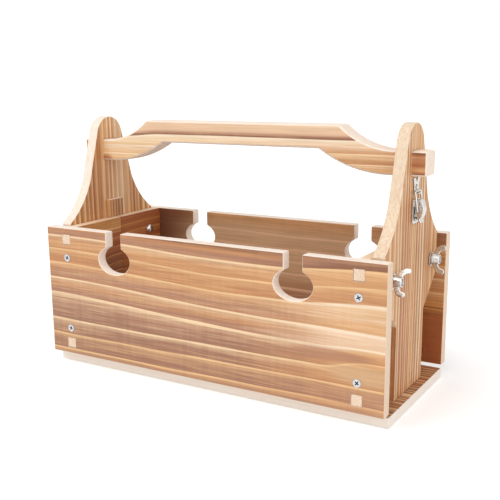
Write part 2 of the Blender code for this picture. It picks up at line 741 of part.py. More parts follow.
def lever(side, metal):
    """The latch's lever: a pressed channel that turns on the pin and carries the bail."""
    half = LEVER_WIDTH / 2
    piece = latch_prism(side, lever_outline(), -half, half, side + "_latch_lever", metal)
    inside = half - LEVER_WALL
    hollow = latch_prism(side, lever_hollow(), -inside, inside, side + "_lever_hollow", None)
    cut(piece, as_cutter(hollow))
    cut(piece, pin_hole(side, "lever"))
    shape = bmesh.new()
    centre = latch_point(side, PIN_OUT, -LATCH_WIDTH, PIN_HEIGHT - BAIL_DROP)
    radius = BAIL_WIRE + FIT
    turned_solid(shape, [(0, radius), (2 * LATCH_WIDTH, radius)], centre, (0, 1, 0), 12)
    return cut(piece, as_cutter(add_object(side + "_lever_bail_holes", shape, None)))


def bail_bar():
    """Distance out and height of the bail's bar, resting over the strike's hook."""
    out = FIT + PLATE_THICKNESS + FIT + BAIL_WIRE
    up = STRIKE_LOW + PLATE_THICKNESS + FIT + BAIL_WIRE
    return out, up


def bail_path(side):
    """The wire's route: from one lever hole, up over the hook and down to the other hole."""
    bar_out, bar_up = bail_bar()
    foot = (PIN_OUT, PIN_HEIGHT - BAIL_DROP)
    inner = LEVER_WIDTH / 2 - LEVER_WALL
    wide = BAIL_HALF_WIDTH
    corners = [(foot[0], inner, foot[1]), (foot[0], wide, foot[1]), (bar_out, wide, bar_up)]
    half = [corners[0]]
    for before, corner, after in ((corners[0], corners[1], corners[2]), (corners[1], corners[2], None)):
        at = Vector(corner)
        back = (Vector(before) - at).normalized() * BAIL_BEND
        ahead = Vector((0, -1, 0)) * BAIL_BEND
        if after:
            ahead = (Vector(after) - at).normalized() * BAIL_BEND
        for i in range(4):
            t = i / 3
            half.append(tuple(at + back * (1 - t) ** 2 + ahead * t ** 2))
    other = [(out, -across, up) for out, across, up in reversed(half)]
    return [latch_point(side, *point) for point in half + other]


def bail(side, metal):
    """The wire loop that draws the strike towards the lever."""
    points = bail_path(side)
    wire = bpy.data.curves.new(side + "_latch_bail", "CURVE")
    wire.dimensions = "3D"
    wire.bevel_depth = BAIL_WIRE
    wire.bevel_resolution = 2
    wire.use_fill_caps = True
    run = wire.splines.new("POLY")
    run.points.add(len(points) - 1)
    for spot, point in zip(run.points, points):
        spot.co = (*point, 1)
    wire.materials.append(metal)
    piece = bpy.data.objects.new(side + "_latch_bail", wire)
    bpy.context.scene.collection.objects.link(piece)
    return piece


def strike(side, metal):
    """The upper plate with a forked top and a hook turned out for the bail."""
    half = LATCH_WIDTH / 2
    waist = STRIKE_WAIST_HALF
    notch = STRIKE_NOTCH_HALF
    waist_high = STRIKE_LOW + STRIKE_WAIST_HEIGHT
    outline = [(-waist, STRIKE_LOW), (waist, STRIKE_LOW), (waist, waist_high), (half, STRIKE_HIGH)]
    outline += [(notch, STRIKE_HIGH), (0, STRIKE_HIGH - STRIKE_NOTCH), (-notch, STRIKE_HIGH)]
    outline += [(-half, STRIKE_HIGH), (-waist, waist_high)]
    piece = latch_plate(side, outline, side + "_latch_strike", metal)
    hook = bmesh.new()
    start = latch_point(side, FIT + PLATE_THICKNESS / 2, -HOOK_WIDTH / 2, STRIKE_LOW)
    end = latch_point(side, FIT + PLATE_THICKNESS + HOOK_REACH, HOOK_WIDTH / 2, STRIKE_LOW + PLATE_THICKNESS)
    block(hook, start, end)
    join(piece, add_object(side + "_strike_hook", hook, None))
    return cut(piece, plate_screw_holes(side, ("upper",), side + "_strike_screw_holes"))


def latch_screws(side, metal):
    for level, height in latch_screw_heights().items():
        shape = bmesh.new()
        latch_screw(shape, side, height, 0)
        add_object(f"{side}_{level}_latch_screw", shape, metal)


def build():
    clear_scene()
    light_wood = finish("light_acacia", (0.62, 0.36, 0.16), 0.55)
    warm_wood = finish("warm_acacia", (0.5, 0.25, 0.1), 0.55)
    nickel = finish("nickel_plate", (0.72, 0.72, 0.7), 0.25, 1.0)
    steel = finish("zinc_steel", (0.62, 0.63, 0.65), 0.35, 1.0)
    bottom_board(light_wood)
    handle(light_wood)
    for tray in TRAYS:
        panel(tray, light_wood)
    for side in SIDES:
        end_board(side, light_wood)
        base_screws(side, steel)
        stop_block(side, warm_wood)
        latch_base(side, nickel)
        latch_pin(side, nickel)
        lever(side, nickel)
        bail(side, nickel)
        strike(side, nickel)
        latch_screws(side, nickel)
        for tray in TRAYS:
            half_wall(tray, side, warm_wood)
            panel_screws(tray, side, steel)
            bolt(tray, side, steel)
            washer(tray, side, steel)
            wing_nut(tray, side, nickel)


build()
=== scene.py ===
"""A wooden picnic basket with a raised handle, in its finishes. Run inside Blender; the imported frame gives
its places. X runs along the basket, Y from front to back and Z up, in metres."""

from functools import partial
import math

import bmesh
import bpy
from mathutils import Matrix, Vector


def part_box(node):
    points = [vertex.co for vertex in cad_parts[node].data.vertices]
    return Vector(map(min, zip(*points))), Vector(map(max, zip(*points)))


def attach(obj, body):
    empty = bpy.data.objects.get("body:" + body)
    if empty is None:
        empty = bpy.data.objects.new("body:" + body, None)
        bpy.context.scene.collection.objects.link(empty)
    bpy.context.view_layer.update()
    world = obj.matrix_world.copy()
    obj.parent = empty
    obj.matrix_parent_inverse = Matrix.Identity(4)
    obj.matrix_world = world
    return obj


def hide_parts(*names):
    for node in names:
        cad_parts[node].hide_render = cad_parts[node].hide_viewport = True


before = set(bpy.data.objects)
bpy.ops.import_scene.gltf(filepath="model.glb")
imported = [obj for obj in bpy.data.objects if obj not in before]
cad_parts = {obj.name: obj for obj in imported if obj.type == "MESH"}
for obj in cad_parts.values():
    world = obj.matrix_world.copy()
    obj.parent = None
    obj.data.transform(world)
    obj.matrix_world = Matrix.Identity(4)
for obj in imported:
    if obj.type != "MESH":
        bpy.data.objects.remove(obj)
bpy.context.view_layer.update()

# Bottom board. The real one is a single flat-sawn softwood board, planed, scorched brown on its faces, with
# pale freshly cut edges. The end boards stand on it and are screwed on from below.
MM = 0.001
FIT = 0.3 * MM  # how far a hole clears what goes through it
BEYOND = 5 * MM  # how far a cutter reaches past a board
JUST_BEYOND = 1 * MM  # and past a fitting
ROUNDING = 1.0 * MM  # how far the large boards' edges are sanded round
FACING = 0.93  # how closely a polygon has to face along its board's axis to be part of the board's faces
SIDES = {"left": -1, "right": 1}
TRAYS = {"front": -1, "back": 1}


def linear(code):
    """An sRGB hex colour as the linear red, green, blue and alpha that a shader takes."""
    parts = [int(code[i:i + 2], 16) / 255 for i in (1, 3, 5)]
    return (*[p / 12.92 if p <= 0.04045 else ((p + 0.055) / 1.055) ** 2.4 for p in parts], 1)


def add_node(tree, kind, sockets=(), gives=0, stops=(), **settings):
    """Adds a node with its settings, colour stops and links, and returns the output that it gives. A socket
    takes a value, another node's output, or a list of outputs."""
    node = tree.nodes.new(kind)
    for name, value in settings.items():
        setattr(node, name, value)
    for name, value in dict(sockets).items():
        for given in value if isinstance(value, list) else [value]:
            if isinstance(given, bpy.types.NodeSocket):
                tree.links.new(given, node.inputs[name])
            else:
                node.inputs[name].default_value = given
    if stops:
        elements = node.color_ramp.elements
        while len(elements) < len(stops):
            elements.new(0.5)
        for element, (position, colour) in zip(elements, stops):
            element.position = position
            element.color = colour
    return node.outputs[gives] if node.outputs else None


# The tones of scorched and lacquered softwood: sapwood, early wood, late wood and the scorched rings.
TONES = {
    "cream": "#FAD9AE",
    "straw": "#F0C48F",
    "wheat": "#F5CD92",
    "pearl": "#FEE7CB",
    "rose": "#F0C8A3",
    "honey": "#E2AD79",
    "sand": "#D9B288",
    "tan": "#D59B69",
    "clay": "#C78B5D",
    "amber": "#CB8B4C",
    "mauve": "#B38063",
    "toffee": "#B57A48",
    "dusk": "#A5765C",
    "russet": "#AB6032",
    "umber": "#8A5A3F",
    "cocoa": "#6F3E24",
    "white": "#FFF6EC",
    "flesh": "#FDEEE0",
    "ivory": "#F2DDC2",
    "blush": "#F7E0CA",
    "biscuit": "#E6C5A4",
}


def new_material(name):
    """A new material, its node tree, its shader, and the place of each point in metres."""
    made = bpy.data.materials.new(name)
    made.use_nodes = True
    tree = made.node_tree
    return made, tree, tree.nodes["Principled BSDF"], add_node(tree, "ShaderNodeTexCoord", gives="Object")


def grey(level):
    return (level, level, level, 1)


def coloured_along(add, level, stops):
    """The colour at a level in metres, between stops of (mm, colour)."""
    first, last = stops[0][0], stops[-1][0]
    share = add("ShaderNodeMapRange", {"Value": level, "From Min": first * MM, "From Max": last * MM})
    steps = [((mm - first) / (last - first), colour) for mm, colour in stops]
    return add("ShaderNodeValToRGB", {"Fac": share}, stops=steps)


def toned_along(add, level, text):
    """The colour at a level in metres, from stops of mm and tone such as "11 dusk, 62 mauve"."""
    stops = [stop.split() for stop in text.split(",")]
    return coloured_along(add, level, [(float(mm), linear(TONES[tone])) for mm, tone in stops])


def patched(add, place, colour, tone, axes, middle, half, rim, core, strength, uneven=None):
    """The colour with a soft oval patch of a tone. The middle and the half sizes are in mm along the axes, and
    the patch comes in between its rim and its core, given as shares of the half sizes."""
    shift, stretch = [0.0] * 3, [0.0] * 3
    for axis, at, size in zip(axes, middle, half):
        shift[axis], stretch[axis] = -at / size, 1 / (size * MM)
    centred = add("ShaderNodeMapping", {"Vector": place, "Location": tuple(shift), "Scale": tuple(stretch)})
    away = add("ShaderNodeVectorMath", {0: centred}, gives="Value", operation="LENGTH")
    if uneven is not None:
        away = add("ShaderNodeMath", {0: uneven, 1: 0.6, 2: away}, operation="MULTIPLY_ADD")
    sockets = {"Value": away, "From Min": rim, "From Max": core, "To Max": strength}
    inside = add("ShaderNodeMapRange", sockets, interpolation_type="SMOOTHSTEP")
    return add("ShaderNodeMix", {0: inside, 6: colour, 7: linear(TONES[tone])}, gives=2, data_type="RGBA")


def scorched_face(name, along, across, lines, dark, pale, far=(), turn=(0, 0), bends=(), wander=1.0,
                  streak=0.22, line=0.13, seed=0.0, spots=()):
    """Planed softwood, scorched and lacquered. Each growth ring starts dark above a sharp pale line and pales
    towards the next line. lines holds the lines' places in mm on the across axis, or the pitch of even ones,
    and line is the share of a ring that its pale line takes. dark and pale are the stops of mm and tone for
    the two ends of a ring, and far is such a pair that takes over between the places in turn. Each bend lifts
    the lines by some mm, from one place along the board to another, inside a window of the across axis:
    (lift, start, end, window start, full, full, window end). spots are (middle), (half size), tone.
    """
    made, tree, shader, place = new_material(name)
    add = partial(add_node, tree)
    axes = add("ShaderNodeSeparateXYZ", {"Vector": place}).node.outputs
    lengthways, crossways = axes[along], axes[across]

    # Noise stretched along the board: waves in a metre along it and across it, and detail. Each runs from -1
    # to 1. The fibres are drawn about a millimetre wide, coarser than real ones, so that they show.
    waves = {"drift": (7, 16, 1.0), "uneven": (1.5, 60, 1.0), "streaks": (5, 300, 2.5),
             "fibres": (24, 900, 3.0), "chatter": (260, 12, 1.0)}
    noise = {}
    for shift, (use, (lengthwise, crosswise, detail)) in enumerate(waves.items()):
        scale = [crosswise] * 3
        scale[along] = lengthwise
        sockets = {"Vector": place, "Scale": tuple(scale), "Location": (seed, seed * 3, shift)}
        moved = add("ShaderNodeMapping", sockets)
        cloud = add("ShaderNodeTexNoise", {"Vector": moved, "Scale": 1.0, "Detail": detail})
        noise[use] = add("ShaderNodeMapRange", {"Value": cloud, "To Min": -1.0, "To Max": 1.0})

    # The lines wander by a millimetre or two over a hand's breadth, and bend where the bends say.
    sockets = {0: noise["drift"], 1: wander * 2 * MM, 2: crossways}
    level = add("ShaderNodeMath", sockets, operation="MULTIPLY_ADD")
    for lift, start, end, window_start, full_start, full_end, window_end in bends:
        rise = lift * MM
        for value, none, full in ((crossways, window_start, full_start), (crossways, window_end, full_end),
                                  (lengthways, start, end)):
            sockets = {"Value": value, "From Min": none * MM, "From Max": full * MM, "To Max": rise}
            rise = add("ShaderNodeMapRange", sockets, interpolation_type="SMOOTHSTEP")
        level = add("ShaderNodeMath", {0: level, 1: rise}, operation="SUBTRACT")

    # Rings are counted along the board's width. Even ones still differ in width by an uneven share.
    if isinstance(lines, list):
        last = len(lines) - 1
        share = coloured_along(add, level, [(mm, grey(i / last)) for i, mm in enumerate(lines)])
        rings = add("ShaderNodeMath", {0: share, 1: last}, operation="MULTIPLY")
    else:
        rings = add("ShaderNodeMath", {0: level, 1: lines * MM}, operation="DIVIDE")
        rings = add("ShaderNodeMath", {0: noise["uneven"], 1: 1.5, 2: rings}, operation="MULTIPLY_ADD")
    ring = add("ShaderNodeMath", {0: rings}, operation="FRACT")

    # Through a ring the paleness rises slowly, then steps up to the pale line. Noise roughens it.
    profile = ((0, 0.0), (0.55 * (1 - line), 0.13), (1 - 1.3 * line, 0.38), (1 - 0.6 * line, 1.0), (1, 1.0))
    steps = [(at, grey(share)) for at, share in profile]
    paleness = add("ShaderNodeValToRGB", {"Fac": ring}, stops=steps)
    for use, strength in (("streaks", streak * 1.7), ("fibres", 0.42), ("chatter", 0.1)):
        paleness = add("ShaderNodeMath", {0: noise[use], 1: strength, 2: paleness}, operation="MULTIPLY_ADD")

    # The far tones take over along the board, at a place that wavers by up to 60 mm.
    toned = [toned_along(add, level, text) for text in (dark, pale, *far)]
    colour = add("ShaderNodeMix", {0: paleness, 6: toned[0], 7: toned[1]}, gives=2, data_type="RGBA")
    if far:
        beyond = add("ShaderNodeMix", {0: paleness, 6: toned[2], 7: toned[3]}, gives=2, data_type="RGBA")
        sockets = {0: noise["drift"], 1: 60 * MM, 2: lengthways}
        reach = add("ShaderNodeMath", sockets, operation="MULTIPLY_ADD")
        sockets = {"Value": reach, "From Min": turn[0] * MM, "From Max": turn[1] * MM}
        change = add("ShaderNodeMapRange", sockets, interpolation_type="SMOOTHSTEP")
        colour = add("ShaderNodeMix", {0: change, 6: colour, 7: beyond}, gives=2, data_type="RGBA")
    # Soft patches of a tone: figure where a branch or the flame touched the board, and painted shade where a
    # caller puts one for it.
    for middle, half, tone in spots:
        colour = patched(add, place, colour, tone, (along, across), middle, half, rim=1.1, core=0.4,
                         strength=0.75, uneven=noise["drift"])

    # The fibres shade the colour and raise the surface a little, and the streaks vary its satin.
    sockets = {"Value": noise["fibres"], "From Min": -0.4, "From Max": 0.4, "To Min": 0.9, "To Max": 1.06}
    depth = add("ShaderNodeMapRange", sockets)
    colour = add("ShaderNodeVectorMath", {0: colour, 1: depth}, operation="MULTIPLY")
    tree.links.new(colour, shader.inputs["Base Color"])
    sockets = {"Value": noise["streaks"], "From Min": -0.4, "From Max": 0.4, "To Min": 0.5, "To Max": 0.64}
    tree.links.new(add("ShaderNodeMapRange", sockets), shader.inputs["Roughness"])
    sockets = {"Height": noise["fibres"], "Strength": 0.15, "Distance": 0.3 * MM}
    tree.links.new(add("ShaderNodeBump", sockets), shader.inputs["Normal"])
    shader.inputs["Coat Weight"].default_value = 0.06
    shader.inputs["Coat Roughness"].default_value = 0.35
    return made


def cut_edge(name, light, dark, seed, along=None, knot=None):
    """Freshly sawn and sanded softwood: pale, with fine lines along the board, or pores where it is end grain,
    and no scorching. knot is the middle and half sizes in mm of a dark knot that comes out there."""
    made, tree, shader, place = new_material(name)
    add = partial(add_node, tree)
    scale = [1200] * 3
    if along is not None:
        scale = [700] * 3
        scale[along] = 25
    moved = add("ShaderNodeMapping", {"Vector": place, "Location": (seed, seed, seed), "Scale": tuple(scale)})
    cloud = add("ShaderNodeTexNoise", {"Vector": moved, "Scale": 1.0, "Detail": 2.0})
    tint = add("ShaderNodeMapRange", {"Value": cloud, "From Min": 0.35, "From Max": 0.7})
    sockets = {0: tint, 6: linear(TONES[light]), 7: linear(TONES[dark])}
    colour = add("ShaderNodeMix", sockets, gives=2, data_type="RGBA")
    if knot:
        colour = patched(add, place, colour, "umber", (0, 1, 2), *knot, rim=1.0, core=0.6, strength=0.9)
    tree.links.new(colour, shader.inputs["Base Color"])
    raised = add("ShaderNodeBump", {"Height": cloud, "Strength": 0.15, "Distance": 0.2 * MM})
    tree.links.new(raised, shader.inputs["Normal"])
    shader.inputs["Roughness"].default_value = 0.68
    return made


def prism(shape, outline, low, high, place):
    """Adds an extruded outline. place(a, b, t) turns outline and depth into a point."""
    near = [shape.verts.new(place(a, b, low)) for a, b in outline]
    far = [shape.verts.new(place(a, b, high)) for a, b in outline]
    shape.faces.new(near)
    shape.faces.new(far)
    for i in range(len(outline)):
        j = (i + 1) % len(outline)
        shape.faces.new((near[i], near[j], far[j], far[i]))


def along_x(a, b, t):
    return Vector((t, a, b))


def along_y(a, b, t):
    return Vector((a, t, b))


def along_z(a, b, t):
    return Vector((a, b, t))


def box_outline(low, high):
    return [(low[0], low[1]), (high[0], low[1]), (high[0], high[1]), (low[0], high[1])]


def turned(shape, profile, centre, axis, sides=32):
    """Adds a turned solid. profile is (distance along the axis, radius) from one end to the other."""
    spin = Vector((0, 0, 1)).rotation_difference(Vector(axis)).to_matrix()
    rings = []
    for reach, radius in profile:
        angles = [2 * math.pi * (i + 0.5) / sides for i in range(sides)]
        points = [Vector((radius * math.cos(a), radius * math.sin(a), reach)) for a in angles]
        rings.append([shape.verts.new(Vector(centre) + spin @ point) for point in points])
    for lower, upper in zip(rings, rings[1:]):
        for i in range(sides):
            j = (i + 1) % sides
            shape.faces.new((lower[i], lower[j], upper[j], upper[i]))
    shape.faces.new(rings[0])
    shape.faces.new(rings[-1])


def linked(name, data):
    """A new object with this data, in the scene."""
    made = bpy.data.objects.new(name, data)
    bpy.context.scene.collection.objects.link(made)
    return made


def new_object(shape, name="draft"):
    """Turns a bmesh into an object with its faces pointing out."""
    bmesh.ops.recalc_face_normals(shape, faces=shape.faces)
    mesh = bpy.data.meshes.new(name)
    shape.to_mesh(mesh)
    shape.free()
    return linked(name, mesh)


def extruded(outline, low, high, place, name="draft"):
    """A new object with one extruded outline."""
    shape = bmesh.new()
    prism(shape, outline, low, high, place)
    return new_object(shape, name)


def lathed(profile, centre, axis, sides):
    """A new object with one turned solid."""
    shape = bmesh.new()
    turned(shape, profile, centre, axis, sides)
    return new_object(shape)


def baked(draft, name, smooth=50):
    """The draft's evaluated mesh as a plain object. It is smooth where it turns by less than smooth degrees,
    and its flat faces stay flat beside their rounded edges."""
    for stage in ("smooth", "weighted"):
        graph = bpy.context.evaluated_depsgraph_get()
        mesh = bpy.data.meshes.new_from_object(draft.evaluated_get(graph))
        bpy.data.objects.remove(draft)
        mesh.name = name
        draft = linked(name, mesh)
        if stage == "smooth":
            mesh.shade_smooth()
            mesh.set_sharp_from_angle(angle=math.radians(smooth))
            leaning = draft.modifiers.new("flat_faces", "WEIGHTED_NORMAL")
            leaning.keep_sharp = True
    return draft


def finished(draft, name, width, segments=3, additions=(), cutters=(), finishes=()):
    """Rounds the draft's edges by width, joins and cuts the helpers, and returns one plain object with the
    finishes as its materials."""
    if width:
        rounded = draft.modifiers.new("rounded_edges", "BEVEL")
        rounded.width = width
        rounded.segments = segments
        rounded.limit_method = "ANGLE"
        rounded.angle_limit = math.radians(40)
    helpers = [(helper, "UNION") for helper in additions] + [(helper, "DIFFERENCE") for helper in cutters]
    for helper, operation in helpers:
        change = draft.modifiers.new(operation.lower(), "BOOLEAN")
        change.operation = operation
        change.solver = "EXACT"
        change.object = helper
    made = baked(draft, name)
    for helper, operation in helpers:
        bpy.data.objects.remove(helper)
    made.data.materials.clear()
    for finish in finishes:
        made.data.materials.append(finish)
    return made


def board(name, outline, low, high, place, width, cutters, finishes, segments=3):
    """A sawn board: its outline extruded, holes cut and edges sanded round. The first of its finishes is for
    its faces and the second for its edges."""
    draft = extruded(outline, low, high, place)
    made = finished(draft, name, width, segments, cutters=cutters, finishes=finishes)
    flat = place(0, 0, 1)
    for polygon in made.data.polygons:
        polygon.material_index = 0 if abs(polygon.normal.dot(flat)) > FACING else 1
    return made


SCREW_HEAD = 3.3 * MM
SCREW_SHANK = 1.6 * MM
SCREW_COUNTERSINK = 2.2 * MM
SCREW_COLLAR = 0.4 * MM
BASE_SCREW_LENGTH = 32 * MM


def base_screws(sides, sunk=0):
    """The screws up through the bottom board into the end boards at these sides. Each is its node's name, the
    middle of its head, sunk into the board by so much, and the way that it was driven."""
    places = []
    for side in sides:
        for tray in TRAYS:
            name = f"{side}_{tray}_base_screw"
            low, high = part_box(name)
            places.append((name, ((low.x + high.x) / 2, (low.y + high.y) / 2, sunk), (0, 0, 1)))
    return places


def screw_cutter(places, length):
    """The holes for countersunk screws at these places."""
    shape = bmesh.new()
    head, shank = SCREW_HEAD + FIT, SCREW_SHANK + FIT
    profile = [(-FIT, head), (SCREW_COLLAR, head), (SCREW_COUNTERSINK + FIT, shank), (length + shank, shank)]
    for node, centre, way in places:
        turned(shape, profile, centre, way, 24)
    return new_object(shape)


# Scorched dark, with the grain along the basket: red-brown bands and thin pale lines between the end boards.
scorched_bottom = scorched_face(
    "scorched_softwood_bottom", 0, 1, 6.5, "-63 umber, -20 russet, 0 umber, 30 russet, 63 russet",
    "-63 cream, -40 straw, -15 cream, 10 honey, 40 straw, 63 straw", wander=1, streak=0.2, line=0.3, seed=3.1)
# Sawn after the scorching, so the board shows a nearly white rim all round.
bottom_edge = cut_edge("sanded_softwood_bottom_edge", "white", "flesh", 1.0, along=0)
low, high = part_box("bottom_board")
bottom = board("bottom_plank", box_outline((low.x, low.y), (high.x, high.y)), low.z, high.z, along_z, ROUNDING,
               [screw_cutter(base_screws(SIDES), BASE_SCREW_LENGTH)],
               (scorched_bottom, bottom_edge))
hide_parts("bottom_board")
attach(bottom, "basket")

# Front and back panels. Each real one is a single wide board, sawn flat so that the growth rings show as
# long wavy bands, with two keyholes for the stems of wine glasses and square mortises near its ends.
KEYHOLE_OFFSET = 88 * MM
KEYHOLE_RADII = (17.2 * MM, 12.5 * MM)
KEYHOLE_DROP = 24.8 * MM
KEYHOLE_SLOT = 16 * MM
TENON_HEIGHT = 9 * MM
TENON_CENTRES = (22 * MM, 119.5 * MM)
PANEL_SCREW_LENGTH = 26 * MM
PANEL_SCREW_HEIGHTS = {"lower": 36 * MM, "upper": 102.5 * MM}
PANEL_END = 1.5 * MM  # end grain shows on polygons within this of a panel's end, and that face it by half


def keyhole(centre_x, rim, steps=44):
    """The rim's dip into one oval keyhole, from its left lip to its right lip."""
    half = KEYHOLE_SLOT / 2
    opening = math.asin(half / KEYHOLE_RADII[0])
    points = [(centre_x - half, rim)]
    for i in range(steps + 1):
        angle = math.pi / 2 + opening + (2 * math.pi - 2 * opening) * i / steps
        across = KEYHOLE_RADII[0] * math.cos(angle)
        points.append((centre_x + across, rim - KEYHOLE_DROP + KEYHOLE_RADII[1] * math.sin(angle)))
    points.append((centre_x + half, rim))
    return points


def panel_screws(tray, sides):
    """The screws through a panel into the half walls at these sides, given as the base screws are."""
    out = TRAYS[tray]
    places = []
    for side in sides:
        for level, height in PANEL_SCREW_HEIGHTS.items():
            name = f"{tray}_{side}_{level}_screw"
            low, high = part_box(name)
            places.append((name, ((low.x + high.x) / 2, low.y if out < 0 else high.y, height), (0, -out, 0)))
    return places


def mortise_cutter(tray):
    """Square mortises where the tenons of the half walls come through a panel."""
    shape = bmesh.new()
    low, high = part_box(tray + "_panel")
    for side in SIDES:
        wall_low, wall_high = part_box(f"{tray}_{side}_half_wall")
        for centre in TENON_CENTRES:
            tall = TENON_HEIGHT / 2 + FIT
            outline = box_outline((wall_low.x - FIT, centre - tall), (wall_high.x + FIT, centre + tall))
            prism(shape, outline, low.y - BEYOND, high.y + BEYOND, along_y)
    return new_object(shape)


# The front board: thin pale lines above mauve bands at its left, a broad pale field at its right, and a
# boat-shaped patch of darker wood below that field.
front_face = scorched_face(
    "scorched_softwood_front", 0, 2, [3, 17, 31.5, 45, 69, 83.5, 98, 111, 124, 142],
    "11 dusk, 27 dusk, 49 dusk, 62 mauve, 72 mauve, 77 clay, 88 mauve, 95 clay, 104 clay, 118 tan, "
    "124.5 mauve, 128 mauve, 131 clay, 133.5 umber, 137 umber",
    "11 tan, 17 straw, 31 straw, 45 cream, 69 cream, 83.5 cream, 98 straw, 111 straw, 123 cream, 126 honey, "
    "137 tan",
    far=("11 mauve, 26 mauve, 32 clay, 44 tan, 56 clay, 64 honey, 70 rose, 82 rose, 84 honey, 92 honey, "
         "97 straw, 99 clay, 110 tan, 112 tan, 123.5 honey, 124.6 umber, 130 dusk",
         "11 honey, 31 straw, 45 straw, 60 straw, 69 pearl, 97 pearl, 100 honey, 111 straw, 124 straw, "
         "130 tan"),
    turn=(30, 125), seed=0.7, line=0.12,
    bends=((-5.8, -165, 40, 74, 92, 140, 150), (5.8, 70, 165, 84, 98, 140, 150),
           (-8, -165, 90, 50, 60, 74, 92), (1, -165, 60, 8, 14, 36, 44), (9, 110, 156, 34, 46, 56, 68)),
    spots=(((150, 42), (34, 9), "sand"), ((122, 55), (40, 5), "mauve")))
# The back board: dark at its left, tan in its middle, golden above and red-brown below at its right.
back_face = scorched_face(
    "scorched_softwood_back", 0, 2, [3, 20, 34, 48, 66, 80, 92, 104, 117, 140],
    "11 mauve, 34 clay, 60 mauve, 80 sand, 100 sand, 118 sand, 130 tan",
    "11 tan, 34 honey, 66 rose, 90 rose, 117 rose, 130 straw",
    # Painted shadow at its right: the dark line at about 66 mm, drawn as a glue joint, and the even red-brown
    # below it.
    far=("11 russet, 40 russet, 58 russet, 66 cocoa, 67.5 amber, 92 clay, 104 toffee, 118 toffee, 130 umber",
         "11 russet, 50 russet, 66 amber, 68 honey, 92 straw, 117 honey, 130 tan"),
    turn=(90, 150), streak=0.14, seed=5.3, bends=((-3, -165, 40, 8, 20, 140, 150),),
    spots=(((-152, 112), (70, 84), "cocoa"), ((-158, 112), (46, 84), "cocoa")))
# The back board's outer face doesn't show in the photograph. It is banded like the front board's.
outer_face = scorched_face(
    "scorched_softwood_back_outer", 0, 2, [2, 15, 26, 40, 58, 71, 86, 95, 107, 119, 136],
    "11 mauve, 30 dusk, 50 mauve, 66 clay, 80 mauve, 100 tan, 118 clay, 130 dusk",
    "11 tan, 26 straw, 58 cream, 86 straw, 119 cream, 130 honey",
    far=("11 mauve, 40 clay, 58 tan, 90 clay, 130 mauve", "11 honey, 58 cream, 130 straw"),
    turn=(-20, -120), seed=9.4, bends=((6, -165, 20, 30, 50, 90, 120), (-5, 40, 165, 60, 80, 130, 140)))
# The panels' sawn edges draw a thin white frame round the brown boards.
panel_edge = cut_edge("sanded_softwood_panel_edge", "white", "blush", 3.0, along=0)
# End grain: pores and no lines, a little darker than the sawn edges. The tenons show it too.
end_grain = cut_edge("softwood_end_grain", "blush", "biscuit", 4.0)
for tray, finishes in (("front", (front_face, panel_edge, end_grain)),
                       ("back", (back_face, panel_edge, end_grain, outer_face))):
    low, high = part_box(tray + "_panel")
    outline = [(low.x, low.z), (low.x, high.z)]
    outline += keyhole(-KEYHOLE_OFFSET, high.z) + keyhole(KEYHOLE_OFFSET, high.z)
    outline += [(high.x, high.z), (high.x, low.z)]
    cutters = [mortise_cutter(tray),
               screw_cutter(panel_screws(tray, SIDES), PANEL_SCREW_LENGTH)]
    made = board(tray + "_keyholed_board", outline, low.y, high.y, along_y, ROUNDING, cutters, finishes)
    for polygon in made.data.polygons:
        if abs(polygon.center.x) > high.x - PANEL_END and abs(polygon.normal.x) > 0.5:
            polygon.material_index = 2
        elif tray == "back" and polygon.normal.y > FACING:
            polygon.material_index = 3
    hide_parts(tray + "_panel")
    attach(made, "basket")

# Half walls. Each real one is a short board with two square tenons that come through the panel and show
# there as pale end grain. It is held to the end board by one bolt and to the panel by two screws.
BOLT_RADIUS = 2.5 * MM
NECK_WIDTH = 5.6 * MM
NECK_LENGTH = 3 * MM
BOLT_Y = 44.5 * MM
BOLT_Z = 110.5 * MM
WALL_ROUNDING = 0.6 * MM
TENON_ROOT = 2 * MM  # end grain shows on a tenon from this far beyond its shoulder
WALL_MIDDLE = 1 * MM  # where the two half walls of an end meet, they show their faces' wood


def square(middle, half):
    return box_outline((middle[0] - half, middle[1] - half), (middle[0] + half, middle[1] + half))


def bolt_cutters(tray, side, low, high):
    """The square and the round part of a bolt's hole through a half wall."""
    way = SIDES[side]
    inner = high.x if way < 0 else low.x
    middle = (TRAYS[tray] * BOLT_Y, BOLT_Z)
    neck_end = inner + way * (NECK_LENGTH + FIT)
    neck = extruded(square(middle, NECK_WIDTH / 2 + FIT), inner - way * FIT, neck_end, along_x)
    radius = BOLT_RADIUS + FIT
    profile = [(0, radius), (high.x - low.x + BEYOND, radius)]
    return [neck, lathed(profile, (inner, *middle), (way, 0, 0), 24)]


# The sawn sides of a half wall: pale, a shade yellower than the panels' edges, with lines across the basket.
wall_edge = cut_edge("sanded_softwood_wall_edge", "blush", "straw", 2.0, along=1)
wall_lines = [3, 20, 34, 48, 60, 70, 78, 86, 94, 103, 113, 121, 138]
